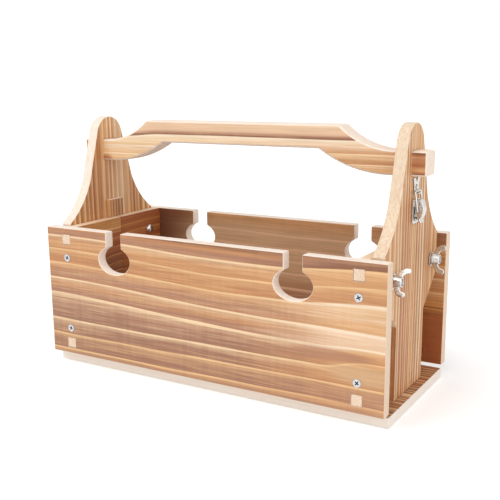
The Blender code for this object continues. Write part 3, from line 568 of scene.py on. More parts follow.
# The left half walls are dark towards the bottom and amber at the rim. The right ones are paler, most of all
# the front one.
wall_tones = {
    "front_left": ("11 cocoa, 80 umber, 96 russet, 112 russet, 118 amber, 130 amber",
                   "11 amber, 80 clay, 104 clay, 112 honey, 118 wheat, 130 wheat"),
    "back_left": ("11 cocoa, 60 umber, 100 russet, 130 russet", "11 russet, 100 amber, 120 amber, 130 amber"),
    "front_right": ("11 clay, 70 mauve, 130 clay", "11 honey, 70 straw, 130 honey"),
    "back_right": ("11 umber, 70 dusk, 130 clay", "11 mauve, 70 clay, 130 honey"),
}
for tray, out in TRAYS.items():
    for side, way in SIDES.items():
        name = f"{tray}_{side}"
        low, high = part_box(name + "_half_wall")
        shoulder = out * (abs(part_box(tray + "_panel")[0 if tray == "back" else 1].y) - FIT)
        tip = out * max(abs(low.y), abs(high.y))
        middle = out * min(abs(low.y), abs(high.y))
        outline = [(middle, low.z), (middle, high.z), (shoulder, high.z)]
        for centre in reversed(TENON_CENTRES):
            top, foot = centre + TENON_HEIGHT / 2, centre - TENON_HEIGHT / 2
            outline += [(shoulder, top), (tip, top), (tip, foot), (shoulder, foot)]
        outline.append((shoulder, low.z))
        finish = scorched_face(
            f"scorched_softwood_{name}_wall", 1, 2, wall_lines, *wall_tones[name], wander=1.5, streak=0.18,
            seed=2.0 + way + out * 0.4, bends=((9, -62, -10, 60, 70, 112, 122),) if tray == "front" else ())
        cutters = [screw_cutter(panel_screws(tray, [side]), PANEL_SCREW_LENGTH),
                   *bolt_cutters(tray, side, low, high)]
        made = board(name + "_wall_board", outline, low.x, high.x, along_x, WALL_ROUNDING, cutters,
                     (finish, wall_edge, end_grain))
        for polygon in made.data.polygons:
            if abs(polygon.center.y) > abs(shoulder) + TENON_ROOT:
                polygon.material_index = 2
            elif abs(polygon.center.y) < WALL_MIDDLE:
                polygon.material_index = 0
        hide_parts(name + "_half_wall")
        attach(made, "basket")

# End boards. Each real one is a bell-shaped board with upright, fine, even grain. The handle passes through
# its head, the bolts through its shoulders, and its foot stands on the bottom board.
HEAD_RADIUS = 18.5 * MM
FLANK = (31 * MM, 168 * MM)
SHOULDER = (61 * MM, 131.5 * MM)
SHOULDER_FOOT = 97 * MM
FOOT = (31 * MM, 70.5 * MM)
FLARE_BULGE = 0.075
LATCH_SCREW_SHANK = 1.1 * MM
LATCH_SCREW_DEPTH = 8 * MM


def arc(centre, radius, start, end, steps):
    """Points on an arc from start to end degrees, both ends included."""
    angles = [math.radians(start + (end - start) * i / steps) for i in range(steps + 1)]
    return [(centre[0] + radius * math.cos(a), centre[1] + radius * math.sin(a)) for a in angles]


def bowed(start, end, bulge, steps):
    """Points on an arc from start to end whose height is bulge times its chord."""
    chord = Vector((end[0] - start[0], end[1] - start[1]))
    half = chord.length / 2
    height = bulge * chord.length
    radius = (half * half + height * height) / (2 * height)
    normal = Vector((-chord.y, chord.x)).normalized()
    centre = Vector(start) + chord / 2 - normal * (radius - height)
    first = math.atan2(start[1] - centre.y, start[0] - centre.x)
    last = math.atan2(end[1] - centre.y, end[0] - centre.x)
    turn = (last - first + math.pi) % (2 * math.pi) - math.pi
    return arc(centre, abs(radius), math.degrees(first), math.degrees(first + turn), steps)


def end_outline(foot_z, top_z):
    """The bell-shaped outline of an end board, as width and height, all the way round."""
    centre = (0, top_z - HEAD_RADIUS)
    lean = math.degrees(math.atan2(FLANK[0] - HEAD_RADIUS, centre[1] - FLANK[1]))
    right = [(FOOT[0], foot_z), FOOT, (SHOULDER[0], SHOULDER_FOOT)]
    right += bowed(SHOULDER, FLANK, FLARE_BULGE, 20) + arc(centre, HEAD_RADIUS, lean, 90, 22)
    return right + [(-across, up) for across, up in reversed(right[:-1])]


handle_low, handle_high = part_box("handle")
HANDLE_END_BOTTOM = 185.5 * MM
HANDLE_HEIGHT = 19.5 * MM
# The right board's middle has narrow rings of red-brown late wood. The left one is paler, partly its wood and
# partly painted light against the shade on its inner face.
end_lines = {
    "left": [-70, -60, -52, -46, -38, -33, -27, -20, -9, -3, 2, 9, 17, 26, 31, 36, 41, 50, 58, 68],
    "right": [-70, -58, -47, -38, -31, -26, -19, -14.5, -9, -6, -1, 2, 6, 12, 18, 24, 31, 35, 47, 57, 68],
}
end_tones = {
    "left": ("-62 toffee, -34 toffee, -28 russet, -21 toffee, -8 clay, 4 clay, 10 sand, 24 tan, 27 toffee, "
             "32 russet, 40 toffee, 62 russet",
             "-62 wheat, -30 straw, -20 honey, -8 straw, 4 cream, 14 cream, 24 straw, 32 honey, 44 wheat, "
             "62 wheat"),
    "right": ("-62 clay, -36 clay, -26 toffee, -22 russet, -20 umber, -18 russet, 12 russet, 15 umber, "
              "18 toffee, 30 toffee, 62 clay",
              "-62 straw, -36 straw, -29 cream, -24 straw, -20 honey, -10 straw, 0 wheat, 12 straw, 18 cream, "
              "24 cream, 28 honey, 62 straw"),
}
# The right board pales towards its head.
end_heads = {
    "left": (),
    "right": ("-62 clay, -8 clay, 0 tan, 62 clay", "-62 straw, -12 cream, 10 straw, 62 straw"),
}
# The sawn sides of an end board: pale cream; on the right one warmer than the trays' edges, and darker as
# painted shade.
end_edges = {"left": ("flesh", "blush"), "right": ("ivory", "biscuit")}
for side, way in SIDES.items():
    low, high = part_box(side + "_end_board")
    half = (handle_high.y - handle_low.y) / 2 + FIT
    outline = box_outline((-half, HANDLE_END_BOTTOM - FIT), (half, HANDLE_END_BOTTOM + HANDLE_HEIGHT + FIT))
    mortise = extruded(outline, low.x - BEYOND, high.x + BEYOND, along_x)
    holes = bmesh.new()
    radius = BOLT_RADIUS + FIT
    for tray, out in TRAYS.items():
        turned(holes, [(-BEYOND, radius), (high.x - low.x + BEYOND, radius)], (low.x, out * BOLT_Y, BOLT_Z),
               (1, 0, 0), 24)
    outer = way * max(abs(low.x), abs(high.x))
    radius = LATCH_SCREW_SHANK + FIT
    for level in ("lower", "middle", "upper"):
        screw_low, screw_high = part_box(f"{side}_{level}_latch_screw")
        centre = (outer + way * BEYOND, 0, (screw_low.z + screw_high.z) / 2)
        turned(holes, [(0, radius), (BEYOND + LATCH_SCREW_DEPTH + FIT, radius)], centre, (-way, 0, 0), 16)
    cutters = [mortise, new_object(holes), screw_cutter(base_screws([side]), BASE_SCREW_LENGTH)]
    finish = scorched_face(
        f"striped_softwood_{side}_end", 2, 1, end_lines[side], *end_tones[side], far=end_heads[side],
        turn=(160, 215), wander=1.2, streak=0.5, line=0.3, seed=8.0 + way)
    end_edge = cut_edge(f"sanded_softwood_{side}_end_edge", *end_edges[side], 7.0 + way, along=2)
    made = board(side + "_bell_board", end_outline(low.z, high.z), low.x, high.x, along_x, ROUNDING, cutters,
                 (finish, end_edge))
    # The foot's upright sides show the face's stripes.
    for polygon in made.data.polygons:
        if polygon.center.z < FOOT[1] and abs(polygon.normal.y) > 0.9:
            polygon.material_index = 0
    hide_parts(side + "_end_board")
    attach(made, "basket")

# Handle. The real one is sawn from a single plank: a raised grip, swept down on both sides to straight ends
# that pass through the end boards and stand out by a finger's thickness. Its edges are rounded for the hand.
HANDLE_RISE = 18.5 * MM
GRIP_TOP_HALF = 96 * MM
GRIP_BOTTOM_HALF = 78 * MM
CURVE_END = 141 * MM
TOP_BULGE = 0.09
BOTTOM_BULGE = 0.08
GRIP_ROUNDING = 2.0 * MM
# Pale sapwood with a dark line along the grip's top, browner at the right, and reddish brown at both tips; the
# right tip has dark bands at its top and bottom and a pale one above the lower.
handle_face = scorched_face(
    "scorched_softwood_handle", 0, 2, [180, 187, 193, 201, 211.5, 226],
    "183 tan, 186 honey, 190 straw, 193.2 straw, 200 rose, 201.5 straw, 206 cream, 211 cream, 211.8 umber, "
    "213.5 mauve, 216 rose, 226 rose",
    "183 straw, 187 cream, 201 pearl, 211 pearl, 212 rose, 216 rose, 226 pearl",
    far=("183 umber, 186 umber, 187.5 honey, 192 tan, 193.2 clay, 200 honey, 201.5 tan, 206 rose, 211 cream, "
         "211.8 umber, 213.5 mauve, 216 rose, 226 rose",
         "183 tan, 187 cream, 201 cream, 206 pearl, 211 pearl, 212 rose, 216 rose, 226 pearl"),
    turn=(-60, 60), wander=0.5, streak=0.16, line=0.16, seed=11.2,
    bends=((-2.5, -80, -120, 200, 204, 230, 240),),
    # The first spot, russet low beside the left end board, is painted shade where the handle meets that board.
    spots=(((-144, 186), (9, 6), "russet"), ((166, 195), (13.5, 60), "russet"),
           ((-166, 195), (13.5, 60), "russet"), ((164, 190.5), (16, 2.4), "honey"),
           ((164, 204), (16, 3.4), "cocoa"), ((164, 186), (16, 2.4), "cocoa")))
# The top, underside and ends of the handle: sanded sawn wood, pale as the other edges, with one knot.
handle_edge = cut_edge("sanded_softwood_handle_edge", "flesh", "blush", 9.0, along=0,
                       knot=((-137, 0, 205), (8, 4.5, 3)))
low_z = HANDLE_END_BOTTOM
high_z = HANDLE_END_BOTTOM + HANDLE_HEIGHT
right = bowed((GRIP_BOTTOM_HALF, low_z + HANDLE_RISE), (CURVE_END, low_z), -BOTTOM_BULGE, 24)
right += [(handle_high.x, low_z), (handle_high.x, high_z)]
right += bowed((CURVE_END, high_z), (GRIP_TOP_HALF, high_z + HANDLE_RISE), TOP_BULGE, 24)
outline = right + [(-x, z) for x, z in reversed(right)]
grip = board("handle_plank", outline, handle_low.y, handle_high.y, along_y, GRIP_ROUNDING, [],
             (handle_face, handle_edge), segments=5)
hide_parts("handle")
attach(grip, "basket")

# Stop blocks. A small block of the same wood on the inner face of each end board, glued over the joint of
# the two half walls.
BLOCK_ROUNDING = 0.5 * MM
# Upright rings, browner than the end board behind, so that the block stands out from it.
block_face = scorched_face("softwood_stop_block", 2, 1, 4.0, "-10 toffee, 10 umber", "-10 honey, 10 honey",
                           wander=0.5, line=0.35, seed=6.0)
for side in SIDES:
    low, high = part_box(side + "_stop_block")
    made = board(side + "_block", box_outline((low.y, low.z), (high.y, high.z)), low.x, high.x, along_x,
                 BLOCK_ROUNDING, [], (block_face, panel_edge))
    for polygon in made.data.polygons:
        if abs(polygon.normal.y) > 0.3:
            polygon.material_index = 0
    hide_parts(side + "_stop_block")
    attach(made, "basket")

# Countersunk screws. The real ones are zinc-plated steel wood screws with cross recesses, two through each
# panel end into a half wall and two up through the bottom board into each end board.
SCREW_TIP = 5 * MM
SCREW_POINT = 0.4 * MM
RECESS_DEPTH = 1.5 * MM
HEAD_SUNK = 0.3 * MM  # the base screws' heads lie this deep in the underside


def plated(name, colour, roughness, grain, dimples):
    """Plated steel: mirror-like, with the faint orange peel and dimples of a thin plating."""
    made, tree, shader, place = new_material(name)
    add = partial(add_node, tree)
    cloud = add("ShaderNodeTexNoise", {"Vector": place, "Scale": grain, "Detail": 2.0})
    sockets = {"Value": cloud, "To Min": roughness * 0.7, "To Max": roughness * 1.3}
    tree.links.new(add("ShaderNodeMapRange", sockets), shader.inputs["Roughness"])
    raised = add("ShaderNodeBump", {"Height": cloud, "Strength": dimples, "Distance": 0.2 * MM})
    tree.links.new(raised, shader.inputs["Normal"])
    shader.inputs["Base Color"].default_value = linear(colour)
    shader.inputs["Metallic"].default_value = 1.0
    return made


# Zinc plate: a cool light grey that mirrors softly.
zinc = plated("zinc_plated_steel", "#D2D4D6", 0.26, 900, 0.1)
# Painted shade: the walls of a driver's recess are coloured dark and rough, for the shade where no light gets
# in.
recess = plated("shaded_zinc_recess", "#4A5058", 0.5, 900, 0.1)


def screw_tree():
    """Countersunk screws with a cross recess, one on each point, driven along the point's facing attribute."""
    tree = bpy.data.node_groups.new("countersunk_screws", "GeometryNodeTree")
    add = partial(add_node, tree)
    face = tree.interface
    face.new_socket("Geometry", in_out="INPUT", socket_type="NodeSocketGeometry")
    for name in ("Head Radius", "Head Depth", "Shank Radius", "Length", "Tip Length", "Slot Width",
                 "Slot Length"):
        face.new_socket(name, in_out="INPUT", socket_type="NodeSocketFloat")
    for name in ("Plating", "Recess"):
        face.new_socket(name, in_out="INPUT", socket_type="NodeSocketMaterial")
    face.new_socket("Geometry", in_out="OUTPUT", socket_type="NodeSocketGeometry")
    given = add("NodeGroupInput").node.outputs
    cones = []
    for sides, bottom, top, depth in ((28, given["Head Radius"], given["Shank Radius"], given["Head Depth"]),
                                      (16, given["Shank Radius"], given["Shank Radius"], given["Length"]),
                                      (16, given["Shank Radius"], SCREW_POINT, given["Tip Length"])):
        sockets = {"Vertices": sides, "Radius Bottom": bottom, "Radius Top": top, "Depth": depth}
        cones.append(add("GeometryNodeMeshCone", sockets))
    head, shank, tip = cones
    bars = []
    for turn in (0, math.pi / 2):
        sockets = {"X": given["Slot Width"], "Y": given["Slot Length"], "Z": 2 * RECESS_DEPTH}
        bar = add("GeometryNodeMeshCube", {"Size": add("ShaderNodeCombineXYZ", sockets)})
        bars.append(add("GeometryNodeTransform", {"Geometry": bar, "Rotation": (0, 0, turn)}))
    cross = add("GeometryNodeMeshBoolean", {"Mesh 2": bars}, operation="UNION", solver="EXACT")
    cross = add("GeometryNodeSetMaterial", {"Geometry": cross, "Material": given["Recess"]})
    sockets = {"Mesh 1": head, "Mesh 2": cross}
    parts = [add("GeometryNodeMeshBoolean", sockets, operation="DIFFERENCE", solver="EXACT")]
    # The shank follows the head, and the tip follows the shank.
    neck = given["Head Depth"]
    ends = add("ShaderNodeMath", {0: neck, 1: given["Length"]}, operation="ADD")
    for mesh, height in ((shank, neck), (tip, ends)):
        spot = add("ShaderNodeCombineXYZ", {"Z": height})
        parts.append(add("GeometryNodeTransform", {"Geometry": mesh, "Translation": spot}))
    whole = add("GeometryNodeJoinGeometry", {"Geometry": parts})
    facing = add("GeometryNodeInputNamedAttribute", {"Name": "facing"}, data_type="FLOAT_VECTOR")
    along = add("FunctionNodeAlignRotationToVector", {"Vector": facing}, axis="Z")
    sockets = {"Points": given["Geometry"], "Instance": whole, "Rotation": along}
    placed = add("GeometryNodeInstanceOnPoints", sockets)
    # Each screw stopped at an angle of its own.
    sockets = {"Min": (0, 0, 0), "Max": (0, 0, 3.0), "Seed": 4}
    spin = add("FunctionNodeRandomValue", sockets, data_type="FLOAT_VECTOR")
    spun = add("GeometryNodeRotateInstances", {"Instances": placed, "Rotation": spin})
    real = add("GeometryNodeRealizeInstances", {"Geometry": spun})
    inside = add("GeometryNodeMaterialSelection", {"Material": given["Recess"]})
    outside = add("FunctionNodeBooleanMath", {0: inside}, operation="NOT")
    sockets = {"Geometry": real, "Selection": outside, "Material": given["Plating"]}
    add("NodeGroupOutput", {"Geometry": add("GeometryNodeSetMaterial", sockets)})
    return tree


def driven_screws(name, places, length):
    """One plain mesh of screws at these places."""
    mesh = bpy.data.meshes.new(name + "_points")
    mesh.from_pydata([centre for node, centre, way in places], [], [])
    facing = mesh.attributes.new("facing", "FLOAT_VECTOR", "POINT")
    for i, (node, centre, way) in enumerate(places):
        facing.data[i].vector = way
    holder = linked(name + "_points", mesh)
    grown = holder.modifiers.new("screws", "NODES")
    grown.node_group = screws
    sizes = {"Head Radius": SCREW_HEAD, "Head Depth": SCREW_COUNTERSINK, "Shank Radius": SCREW_SHANK,
             "Length": length - SCREW_COUNTERSINK - SCREW_TIP, "Tip Length": SCREW_TIP, "Slot Width": 0.95 * MM,
             "Slot Length": 3.9 * MM, "Plating": zinc, "Recess": recess}
    for socket in screws.interface.items_tree:
        if socket.in_out == "INPUT" and socket.name in sizes:
            grown[socket.identifier] = sizes[socket.name]
    return baked(holder, name, 35)


screws = screw_tree()
panel_places = [place for side in SIDES for tray in TRAYS for place in panel_screws(tray, [side])]
for name, places, length in (("panel_screws", panel_places, PANEL_SCREW_LENGTH),
                             ("base_screws", base_screws(SIDES, HEAD_SUNK), BASE_SCREW_LENGTH)):
    made = driven_screws(name, places, length)
    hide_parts(*[node for node, centre, way in places])
    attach(made, "basket")

# Bolts and washers. Each real bolt is a dome-headed steel one with a square neck that bites into the half
# wall. Its shank passes through the end board to a washer and a wing nut outside.
BOLT_HEAD_RADIUS = 4.8 * MM
BOLT_HEAD_HEIGHT = 2.6 * MM
BOLT_CHAMFER = 0.4 * MM
DOME_STEPS = 12
WASHER_RADIUS = 6 * MM
WASHER_ROUNDING = 0.2 * MM
bore_radius = BOLT_RADIUS + FIT
for tray, out in TRAYS.items():
    for side, way in SIDES.items():
        name = f"{tray}_{side}"
        low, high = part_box(name + "_bolt")
        head_end, tip_end = (low.x, high.x) if way > 0 else (high.x, low.x)
        middle = (out * BOLT_Y, BOLT_Z)
        length = abs(tip_end - head_end)
        steps = [math.radians(90 * i / DOME_STEPS) for i in range(1, DOME_STEPS + 1)]
        profile = [(BOLT_HEAD_HEIGHT * (1 - math.cos(a)), BOLT_HEAD_RADIUS * math.sin(a)) for a in steps]
        profile += [(BOLT_HEAD_HEIGHT, BOLT_RADIUS), (length - BOLT_CHAMFER, BOLT_RADIUS),
                    (length, BOLT_RADIUS - BOLT_CHAMFER)]
        draft = lathed(profile, (head_end, *middle), (way, 0, 0), 36)
        inner = head_end + way * (BOLT_HEAD_HEIGHT - FIT)
        neck_end = inner + way * (NECK_LENGTH + FIT)
        neck = extruded(square(middle, NECK_WIDTH / 2), inner, neck_end, along_x)
        made = finished(draft, name + "_dome_bolt", 0, additions=[neck], finishes=[zinc])
        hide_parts(name + "_bolt")
        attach(made, "basket")
        low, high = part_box(name + "_washer")
        thickness = high.x - low.x
        centre = (low.x, *middle)
        ring = lathed([(0, WASHER_RADIUS), (thickness, WASHER_RADIUS)], centre, (1, 0, 0), 48)
        profile = [(-BEYOND, bore_radius), (thickness + BEYOND, bore_radius)]
        bore = lathed(profile, centre, (1, 0, 0), 32)
        made = finished(ring, name + "_round_washer", WASHER_ROUNDING, 2, cutters=[bore], finishes=[zinc])
        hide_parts(name + "_washer")
        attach(made, "basket")

# Wing nuts. Each real one is cast with a round hub and two ears for the fingers, nickel plated over the
# casting's slightly uneven surface. They were left turned to different angles.
NUT_TURN = {"front_left": 20, "front_right": 320, "back_left": 160, "back_right": 350}
NUT_BASE_RADIUS = 5 * MM
NUT_TOP_RADIUS = 4 * MM
NUT_FLANGE = 1.2 * MM
NUT_STEP = (0.3 * MM, 0.2 * MM)  # the flange's slope towards the hub: height and width
NUT_HEIGHT = 6.5 * MM
NUT_LIP = 0.6 * MM
WING_ROOT = (NUT_TOP_RADIUS - 1.2 * MM, 0.8 * MM)
WING_TIP = 12 * MM
WING_REACH = 10.97 * MM
WING_THICKNESS = 1.8 * MM
WING_ROUNDING = 0.6 * MM
WING_EAR = 2.1 * MM
WING_CROTCH = 5.2 * MM
WING_BOWS = (-0.16, 0.1)  # under and over the wing
# Bright nickel on a cast surface: warmer than the zinc, with dimples that break up what it mirrors.
nickel = plated("bright_nickel_plate", "#D4D2CE", 0.27, 700, 0.28)
ear = (WING_TIP - WING_EAR, WING_REACH - WING_EAR)
ear_top = (ear[0] - 1.2 * WING_EAR, ear[1] - 0.6 * WING_EAR)
wing = [WING_ROOT, (NUT_BASE_RADIUS, NUT_FLANGE)]
wing += bowed(wing[-1], (WING_TIP, ear[1] - WING_EAR), WING_BOWS[0], 10)[1:]
wing += arc(ear, WING_EAR, -20, 160, 16)
wing += bowed(ear_top, (NUT_TOP_RADIUS, WING_CROTCH), WING_BOWS[1], 8)
wing.append((WING_ROOT[0], WING_CROTCH))
hub_profile = [
    (0, NUT_BASE_RADIUS),
    (NUT_FLANGE, NUT_BASE_RADIUS),
    (NUT_FLANGE + NUT_STEP[0], NUT_BASE_RADIUS - NUT_STEP[1]),
    (NUT_HEIGHT - NUT_LIP, NUT_TOP_RADIUS),
    (NUT_HEIGHT - 0.3 * NUT_LIP, NUT_TOP_RADIUS - 0.3 * NUT_LIP),
    (NUT_HEIGHT, NUT_TOP_RADIUS - NUT_LIP),
]


def upright(a, b, t):
    return Vector((b, t, a))


for tray, out in TRAYS.items():
    for side, way in SIDES.items():
        name = f"{tray}_{side}_wing_nut"
        low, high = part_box(name)
        seat = Vector((low.x if way > 0 else high.x, out * BOLT_Y, BOLT_Z))
        place = Matrix.Translation(seat) @ Matrix.Rotation(math.radians(NUT_TURN[f"{tray}_{side}"]), 4, "X")
        place = place @ Matrix.Rotation(0 if way > 0 else math.pi, 4, "Z")
        hub = lathed(hub_profile, (0, 0, 0), (1, 0, 0), 36)
        ears = []
        for end in (-1, 1):
            outline = [(end * across, up) for across, up in wing]
            draft = extruded(outline, -WING_THICKNESS / 2, WING_THICKNESS / 2, upright)
            ears.append(finished(draft, f"{name}_ear_{end}", WING_ROUNDING, 4))
        profile = [(-JUST_BEYOND, bore_radius), (NUT_HEIGHT + JUST_BEYOND, bore_radius)]
        bore = lathed(profile, (0, 0, 0), (1, 0, 0), 32)
        made = finished(hub, name + "_casting", 0, additions=ears, cutters=[bore], finishes=[nickel])
        made.data.transform(place)
        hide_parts(name)
        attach(made, name)

# Toggle latches. Each real one is pressed from thin nickel-plated steel: a base plate with two ears, a hollow
# lever on a pin, and a wire bail that pulls on the hook of a forked strike plate. Small screws hold it.
LATCH_HALF = 7 * MM
LATCH_DRILL = 15 * MM  # the drill for pin and wire passes this far out on both sides
PLATE = 0.9 * MM
PLATE_CORNER = 2 * MM
PLATE_ROUNDING = 0.2 * MM
PIN_OUT = 4.6 * MM
PIN_Z = HANDLE_END_BOTTOM - 21.5 * MM
PIN_RADIUS = 1 * MM
BASE_Z = (PIN_Z - 16 * MM, PIN_Z + 3 * MM)
EAR_INSIDE = 4.2 * MM
EAR_RADIUS = 2.4 * MM
EAR_ROUNDING = 0.15 * MM
LEVER_HALF = 3.8 * MM
LEVER_RADIUS = 2.9 * MM
LEVER_ROUNDING = 1.1 * MM
LEVER_BACK = (5.6 * MM, PIN_Z - 12.8 * MM)
LEVER_TIP = [(7 * MM, PIN_Z - 14.8 * MM), (6.1 * MM, PIN_Z - 15.7 * MM), (4.4 * MM, PIN_Z - 14.8 * MM)]
LEVER_CHEEK = [(2.9 * MM, PIN_Z - 9.8 * MM), (PIN_OUT - LEVER_RADIUS, PIN_Z - 8.5 * MM)]
LEVER_BULGE = 0.14
HOLLOW_FOOT = (4.7 * MM, PIN_Z - 11.8 * MM)
HOLLOW_BULGE = 0.13
STRIKE_Z = (PIN_Z + 7.5 * MM, PIN_Z + 20 * MM)
STRIKE_NECK = (5 * MM, STRIKE_Z[0] + 6 * MM)
STRIKE_NOTCH = (2.8 * MM, STRIKE_Z[1] - 4 * MM)
HOOK_HALF = 3.5 * MM
HOOK_REACH = 3 * MM
BAIL_FOOT = (PIN_OUT, PIN_Z - 6 * MM)
BAIL_HALF = 6.4 * MM
BAIL_WIRE = 0.75 * MM
BAIL_BEND = 1.6 * MM
for side, way in SIDES.items():
    low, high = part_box(side + "_end_board")
    face_x = high.x if way > 0 else low.x

    def flat_on_board(across, up, out):
        return Vector((face_x + way * out, across, up))

    def seen_from_side(out, up, across):
        return Vector((face_x + way * out, across, up))

    def drilled(radius, height):
        """A cutter across the latch, for its pin or its wire."""
        start = seen_from_side(PIN_OUT, height, -LATCH_DRILL)
        return lathed([(0, radius), (2 * LATCH_DRILL, radius)], start, (0, 1, 0), 24)

    def latch_screw_cutter(levels):
        """Holes through a plate for its screws."""
        shape = bmesh.new()
        radius = LATCH_SCREW_SHANK + FIT
        for level in levels:
            low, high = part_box(f"{side}_{level}_latch_screw")
            centre = (face_x - way * JUST_BEYOND, 0, (low.z + high.z) / 2)
            turned(shape, [(0, radius), (JUST_BEYOND + BEYOND, radius)], centre, (way, 0, 0), 20)
        return new_object(shape)

    corner = PLATE_CORNER
    outline = [(-LATCH_HALF, BASE_Z[1])] + arc((-LATCH_HALF + corner, BASE_Z[0] + corner), corner, 180, 270, 6)
    outline += arc((LATCH_HALF - corner, BASE_Z[0] + corner), corner, 270, 360, 6) + [(LATCH_HALF, BASE_Z[1])]
    plate = extruded(outline, FIT, FIT + PLATE, flat_on_board)
    ear = [(FIT + PLATE / 2, PIN_Z - EAR_RADIUS)] + arc((PIN_OUT, PIN_Z), EAR_RADIUS, -90, 90, 16)
    ear.append((FIT + PLATE / 2, PIN_Z + EAR_RADIUS))
    ears = []
    for end in (-1, 1):
        draft = extruded(ear, end * EAR_INSIDE, end * (EAR_INSIDE + PLATE), seen_from_side)
        ears.append(finished(draft, f"{side}_ear_{end}", EAR_ROUNDING, 2))
    base = finished(plate, side + "_latch_plate", PLATE_ROUNDING, 2, additions=ears,
                    cutters=[drilled(PIN_RADIUS + FIT, PIN_Z), latch_screw_cutter(["lower", "middle"])])

    # The lever: a barrel on the pin, a bulged back, deep cheeks and a turned-out finger tip.
    outline = arc((PIN_OUT, PIN_Z), LEVER_RADIUS, 180, 0, 20)
    outline += bowed((PIN_OUT + LEVER_RADIUS, PIN_Z), LEVER_BACK, LEVER_BULGE, 14)[1:] + LEVER_TIP + LEVER_CHEEK
    draft = extruded(outline, -LEVER_HALF, LEVER_HALF, seen_from_side)
    barrel = LEVER_RADIUS - PLATE
    outline = [(-MM, PIN_Z)] + arc((PIN_OUT, PIN_Z), barrel, 180, 0, 20)
    outline += bowed((PIN_OUT + barrel, PIN_Z), HOLLOW_FOOT, HOLLOW_BULGE, 14)[1:] + [(-MM, HOLLOW_FOOT[1])]
    hollow = extruded(outline, -LEVER_HALF + PLATE, LEVER_HALF - PLATE, seen_from_side)
    holes = [hollow, drilled(PIN_RADIUS + FIT, PIN_Z), drilled(BAIL_WIRE + FIT, BAIL_FOOT[1])]
    lever = finished(draft, side + "_pressed_lever", LEVER_ROUNDING, 4, cutters=holes)

    # The bail: from one hole in the lever, up over the hook and down to the other hole.
    foot = Vector((BAIL_FOOT[0], LEVER_HALF - PLATE, BAIL_FOOT[1]))
    knee = Vector((BAIL_FOOT[0], BAIL_HALF, BAIL_FOOT[1]))
    crown = Vector((2 * FIT + PLATE + BAIL_WIRE, BAIL_HALF, STRIKE_Z[0] + PLATE + FIT + BAIL_WIRE))
    half = [foot]
    for before, at, ahead in ((foot, knee, (crown - knee).normalized()), (knee, crown, Vector((0, -1, 0)))):
        back = (before - at).normalized()
        steps = [i / 8 for i in range(9)]
        half += [at + back * BAIL_BEND * (1 - t) ** 2 + ahead * BAIL_BEND * t ** 2 for t in steps]
    path = half + [Vector((point.x, -point.y, point.z)) for point in reversed(half)]
    wire = bpy.data.curves.new(side + "_wire", "CURVE")
    wire.dimensions = "3D"
    wire.bevel_depth = BAIL_WIRE
    wire.bevel_resolution = 4
    wire.use_fill_caps = True
    run = wire.splines.new("POLY")
    run.points.add(len(path) - 1)
    for spot, point in zip(run.points, path):
        spot.co = (*seen_from_side(point.x, point.z, point.y), 1)
    bail = baked(linked(side + "_wire", wire), side + "_wire_bail")

    # The strike: a plate with a waist below and a notched fork above, and the hook for the bail at its foot.
    half = [STRIKE_NECK, (LATCH_HALF, STRIKE_Z[1]), (STRIKE_NOTCH[0], STRIKE_Z[1])]
    outline = [(-STRIKE_NECK[0], STRIKE_Z[0]), (STRIKE_NECK[0], STRIKE_Z[0]), *half, (0, STRIKE_NOTCH[1])]
    outline += [(-across, up) for across, up in reversed(half)]
    plate = extruded(outline, FIT, FIT + PLATE, flat_on_board)
    outline = box_outline((FIT + PLATE / 2, STRIKE_Z[0]), (FIT + PLATE + HOOK_REACH, STRIKE_Z[0] + PLATE))
    hook = extruded(outline, -HOOK_HALF, HOOK_HALF, seen_from_side)
    hook = finished(hook, side + "_hook", EAR_ROUNDING, 2)
    strike = finished(plate, side + "_forked_strike", PLATE_ROUNDING, 2, additions=[hook],
                      cutters=[latch_screw_cutter(["upper"])])
    for made, node, body in ((base, "base", "basket"), (lever, "lever", side + "_latch_lever"),
                             (bail, "bail", side + "_latch_bail"), (strike, "strike", "basket")):
        made.data.materials.clear()
        made.data.materials.append(nickel)
        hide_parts(f"{side}_latch_{node}")
        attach(made, body)
    # The latch's pins and round-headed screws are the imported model's own, nickel plated too.
    for name in ("latch_pin", "lower_latch_screw", "middle_latch_screw", "upper_latch_screw"):
        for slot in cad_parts[f"{side}_{name}"].material_slots:
            slot.material = nickel

# Stage: a plain white floor and background, a soft sun from above the front left and a weaker one from the
# right, and the camera at the photograph's angle.
FLOOR_HALF = 4
FLOOR_THICKNESS = 0.02
PHOTO_PIXELS = 500
FOCAL_PIXELS = 819.5
SHIFT_PIXELS = (8.73, 10.97)
CAMERA_PLACE = (0.36943, -0.61310, 0.26170)
floor = extruded(square((0, 0), FLOOR_HALF), -FLOOR_THICKNESS, 0, along_z, "floor")
world = bpy.data.worlds.new("studio")
bpy.context.scene.world = world
world.use_nodes = True
world.node_tree.nodes.clear()
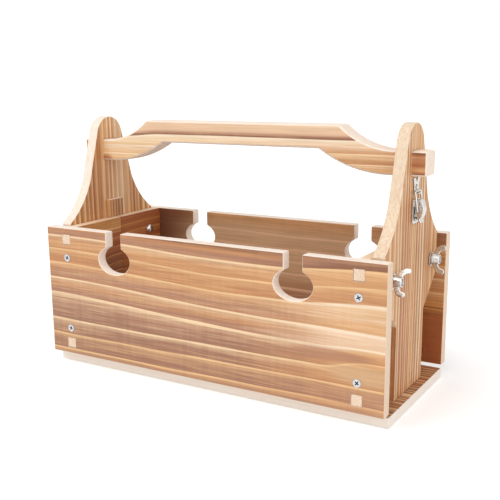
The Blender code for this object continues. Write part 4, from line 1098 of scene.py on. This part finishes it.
# A matt floor that glows faintly where the camera looks, so that it stays white around soft shadows.
white = bpy.data.materials.new("matt_white_floor")
white.use_nodes = True
seen = {}
for tree in (white.node_tree, world.node_tree):
    add = partial(add_node, tree)
    # What the camera sees of the background, and what the metal mirrors, is white.
    rays = add("ShaderNodeLightPath").node.outputs
    direct = add("ShaderNodeMath", {0: rays["Is Camera Ray"], 1: rays["Is Glossy Ray"]}, operation="MAXIMUM")
    seen[tree] = add("ShaderNodeMath", {0: direct, 1: rays["Is Transmission Ray"]}, operation="MAXIMUM")
shader = white.node_tree.nodes["Principled BSDF"]
shader.inputs["Base Color"].default_value = linear("#F6F6F6")
shader.inputs["Roughness"].default_value = 0.9
shader.inputs["Emission Color"].default_value = linear("#FFFFFF")
glow = add_node(white.node_tree, "ShaderNodeMath", {0: seen[white.node_tree], 1: 0.3}, operation="MULTIPLY")
white.node_tree.links.new(glow, shader.inputs["Emission Strength"])
floor.data.materials.append(white)
add = partial(add_node, world.node_tree)
ambient = add("ShaderNodeBackground", {"Color": linear("#FFFFFF"), "Strength": 0.54})
backdrop = add("ShaderNodeBackground", {"Color": linear("#FFFFFF"), "Strength": 1.0})
chosen = add("ShaderNodeMixShader", {0: seen[world.node_tree], 1: ambient, 2: backdrop})
add("ShaderNodeOutputWorld", {"Surface": chosen})

for name, toward, power, softness in (("key_light", (-0.4, -0.8, 1.2), 1.3, 50),
                                      ("side_light", (0.9, -0.35, 0.35), 0.75, 60)):
    lamp = bpy.data.lights.new(name, "SUN")
    lamp.energy = power
    lamp.angle = math.radians(softness)
    holder = linked(name, lamp)
    holder.rotation_euler = (-Vector(toward)).to_track_quat("-Z", "Y").to_euler()

view = bpy.data.cameras.new("photo_camera")
view.sensor_width = 36
view.lens = FOCAL_PIXELS / PHOTO_PIXELS * view.sensor_width
view.shift_x = SHIFT_PIXELS[0] / PHOTO_PIXELS
view.shift_y = SHIFT_PIXELS[1] / PHOTO_PIXELS
camera = linked("photo_camera", view)
right_way = Vector((0.8565975, 0.5158781, -0.0105171))
down_way = Vector((0.1045846, -0.1935464, -0.9755008))
ahead_way = Vector((-0.5052750, 0.8345116, -0.2197442))
turn = Matrix((right_way, -down_way, -ahead_way)).transposed()
camera.matrix_world = Matrix.Translation(Vector(CAMERA_PLACE)) @ turn.to_4x4()
bpy.context.scene.camera = camera
bpy.context.scene.view_settings.view_transform = "Standard"
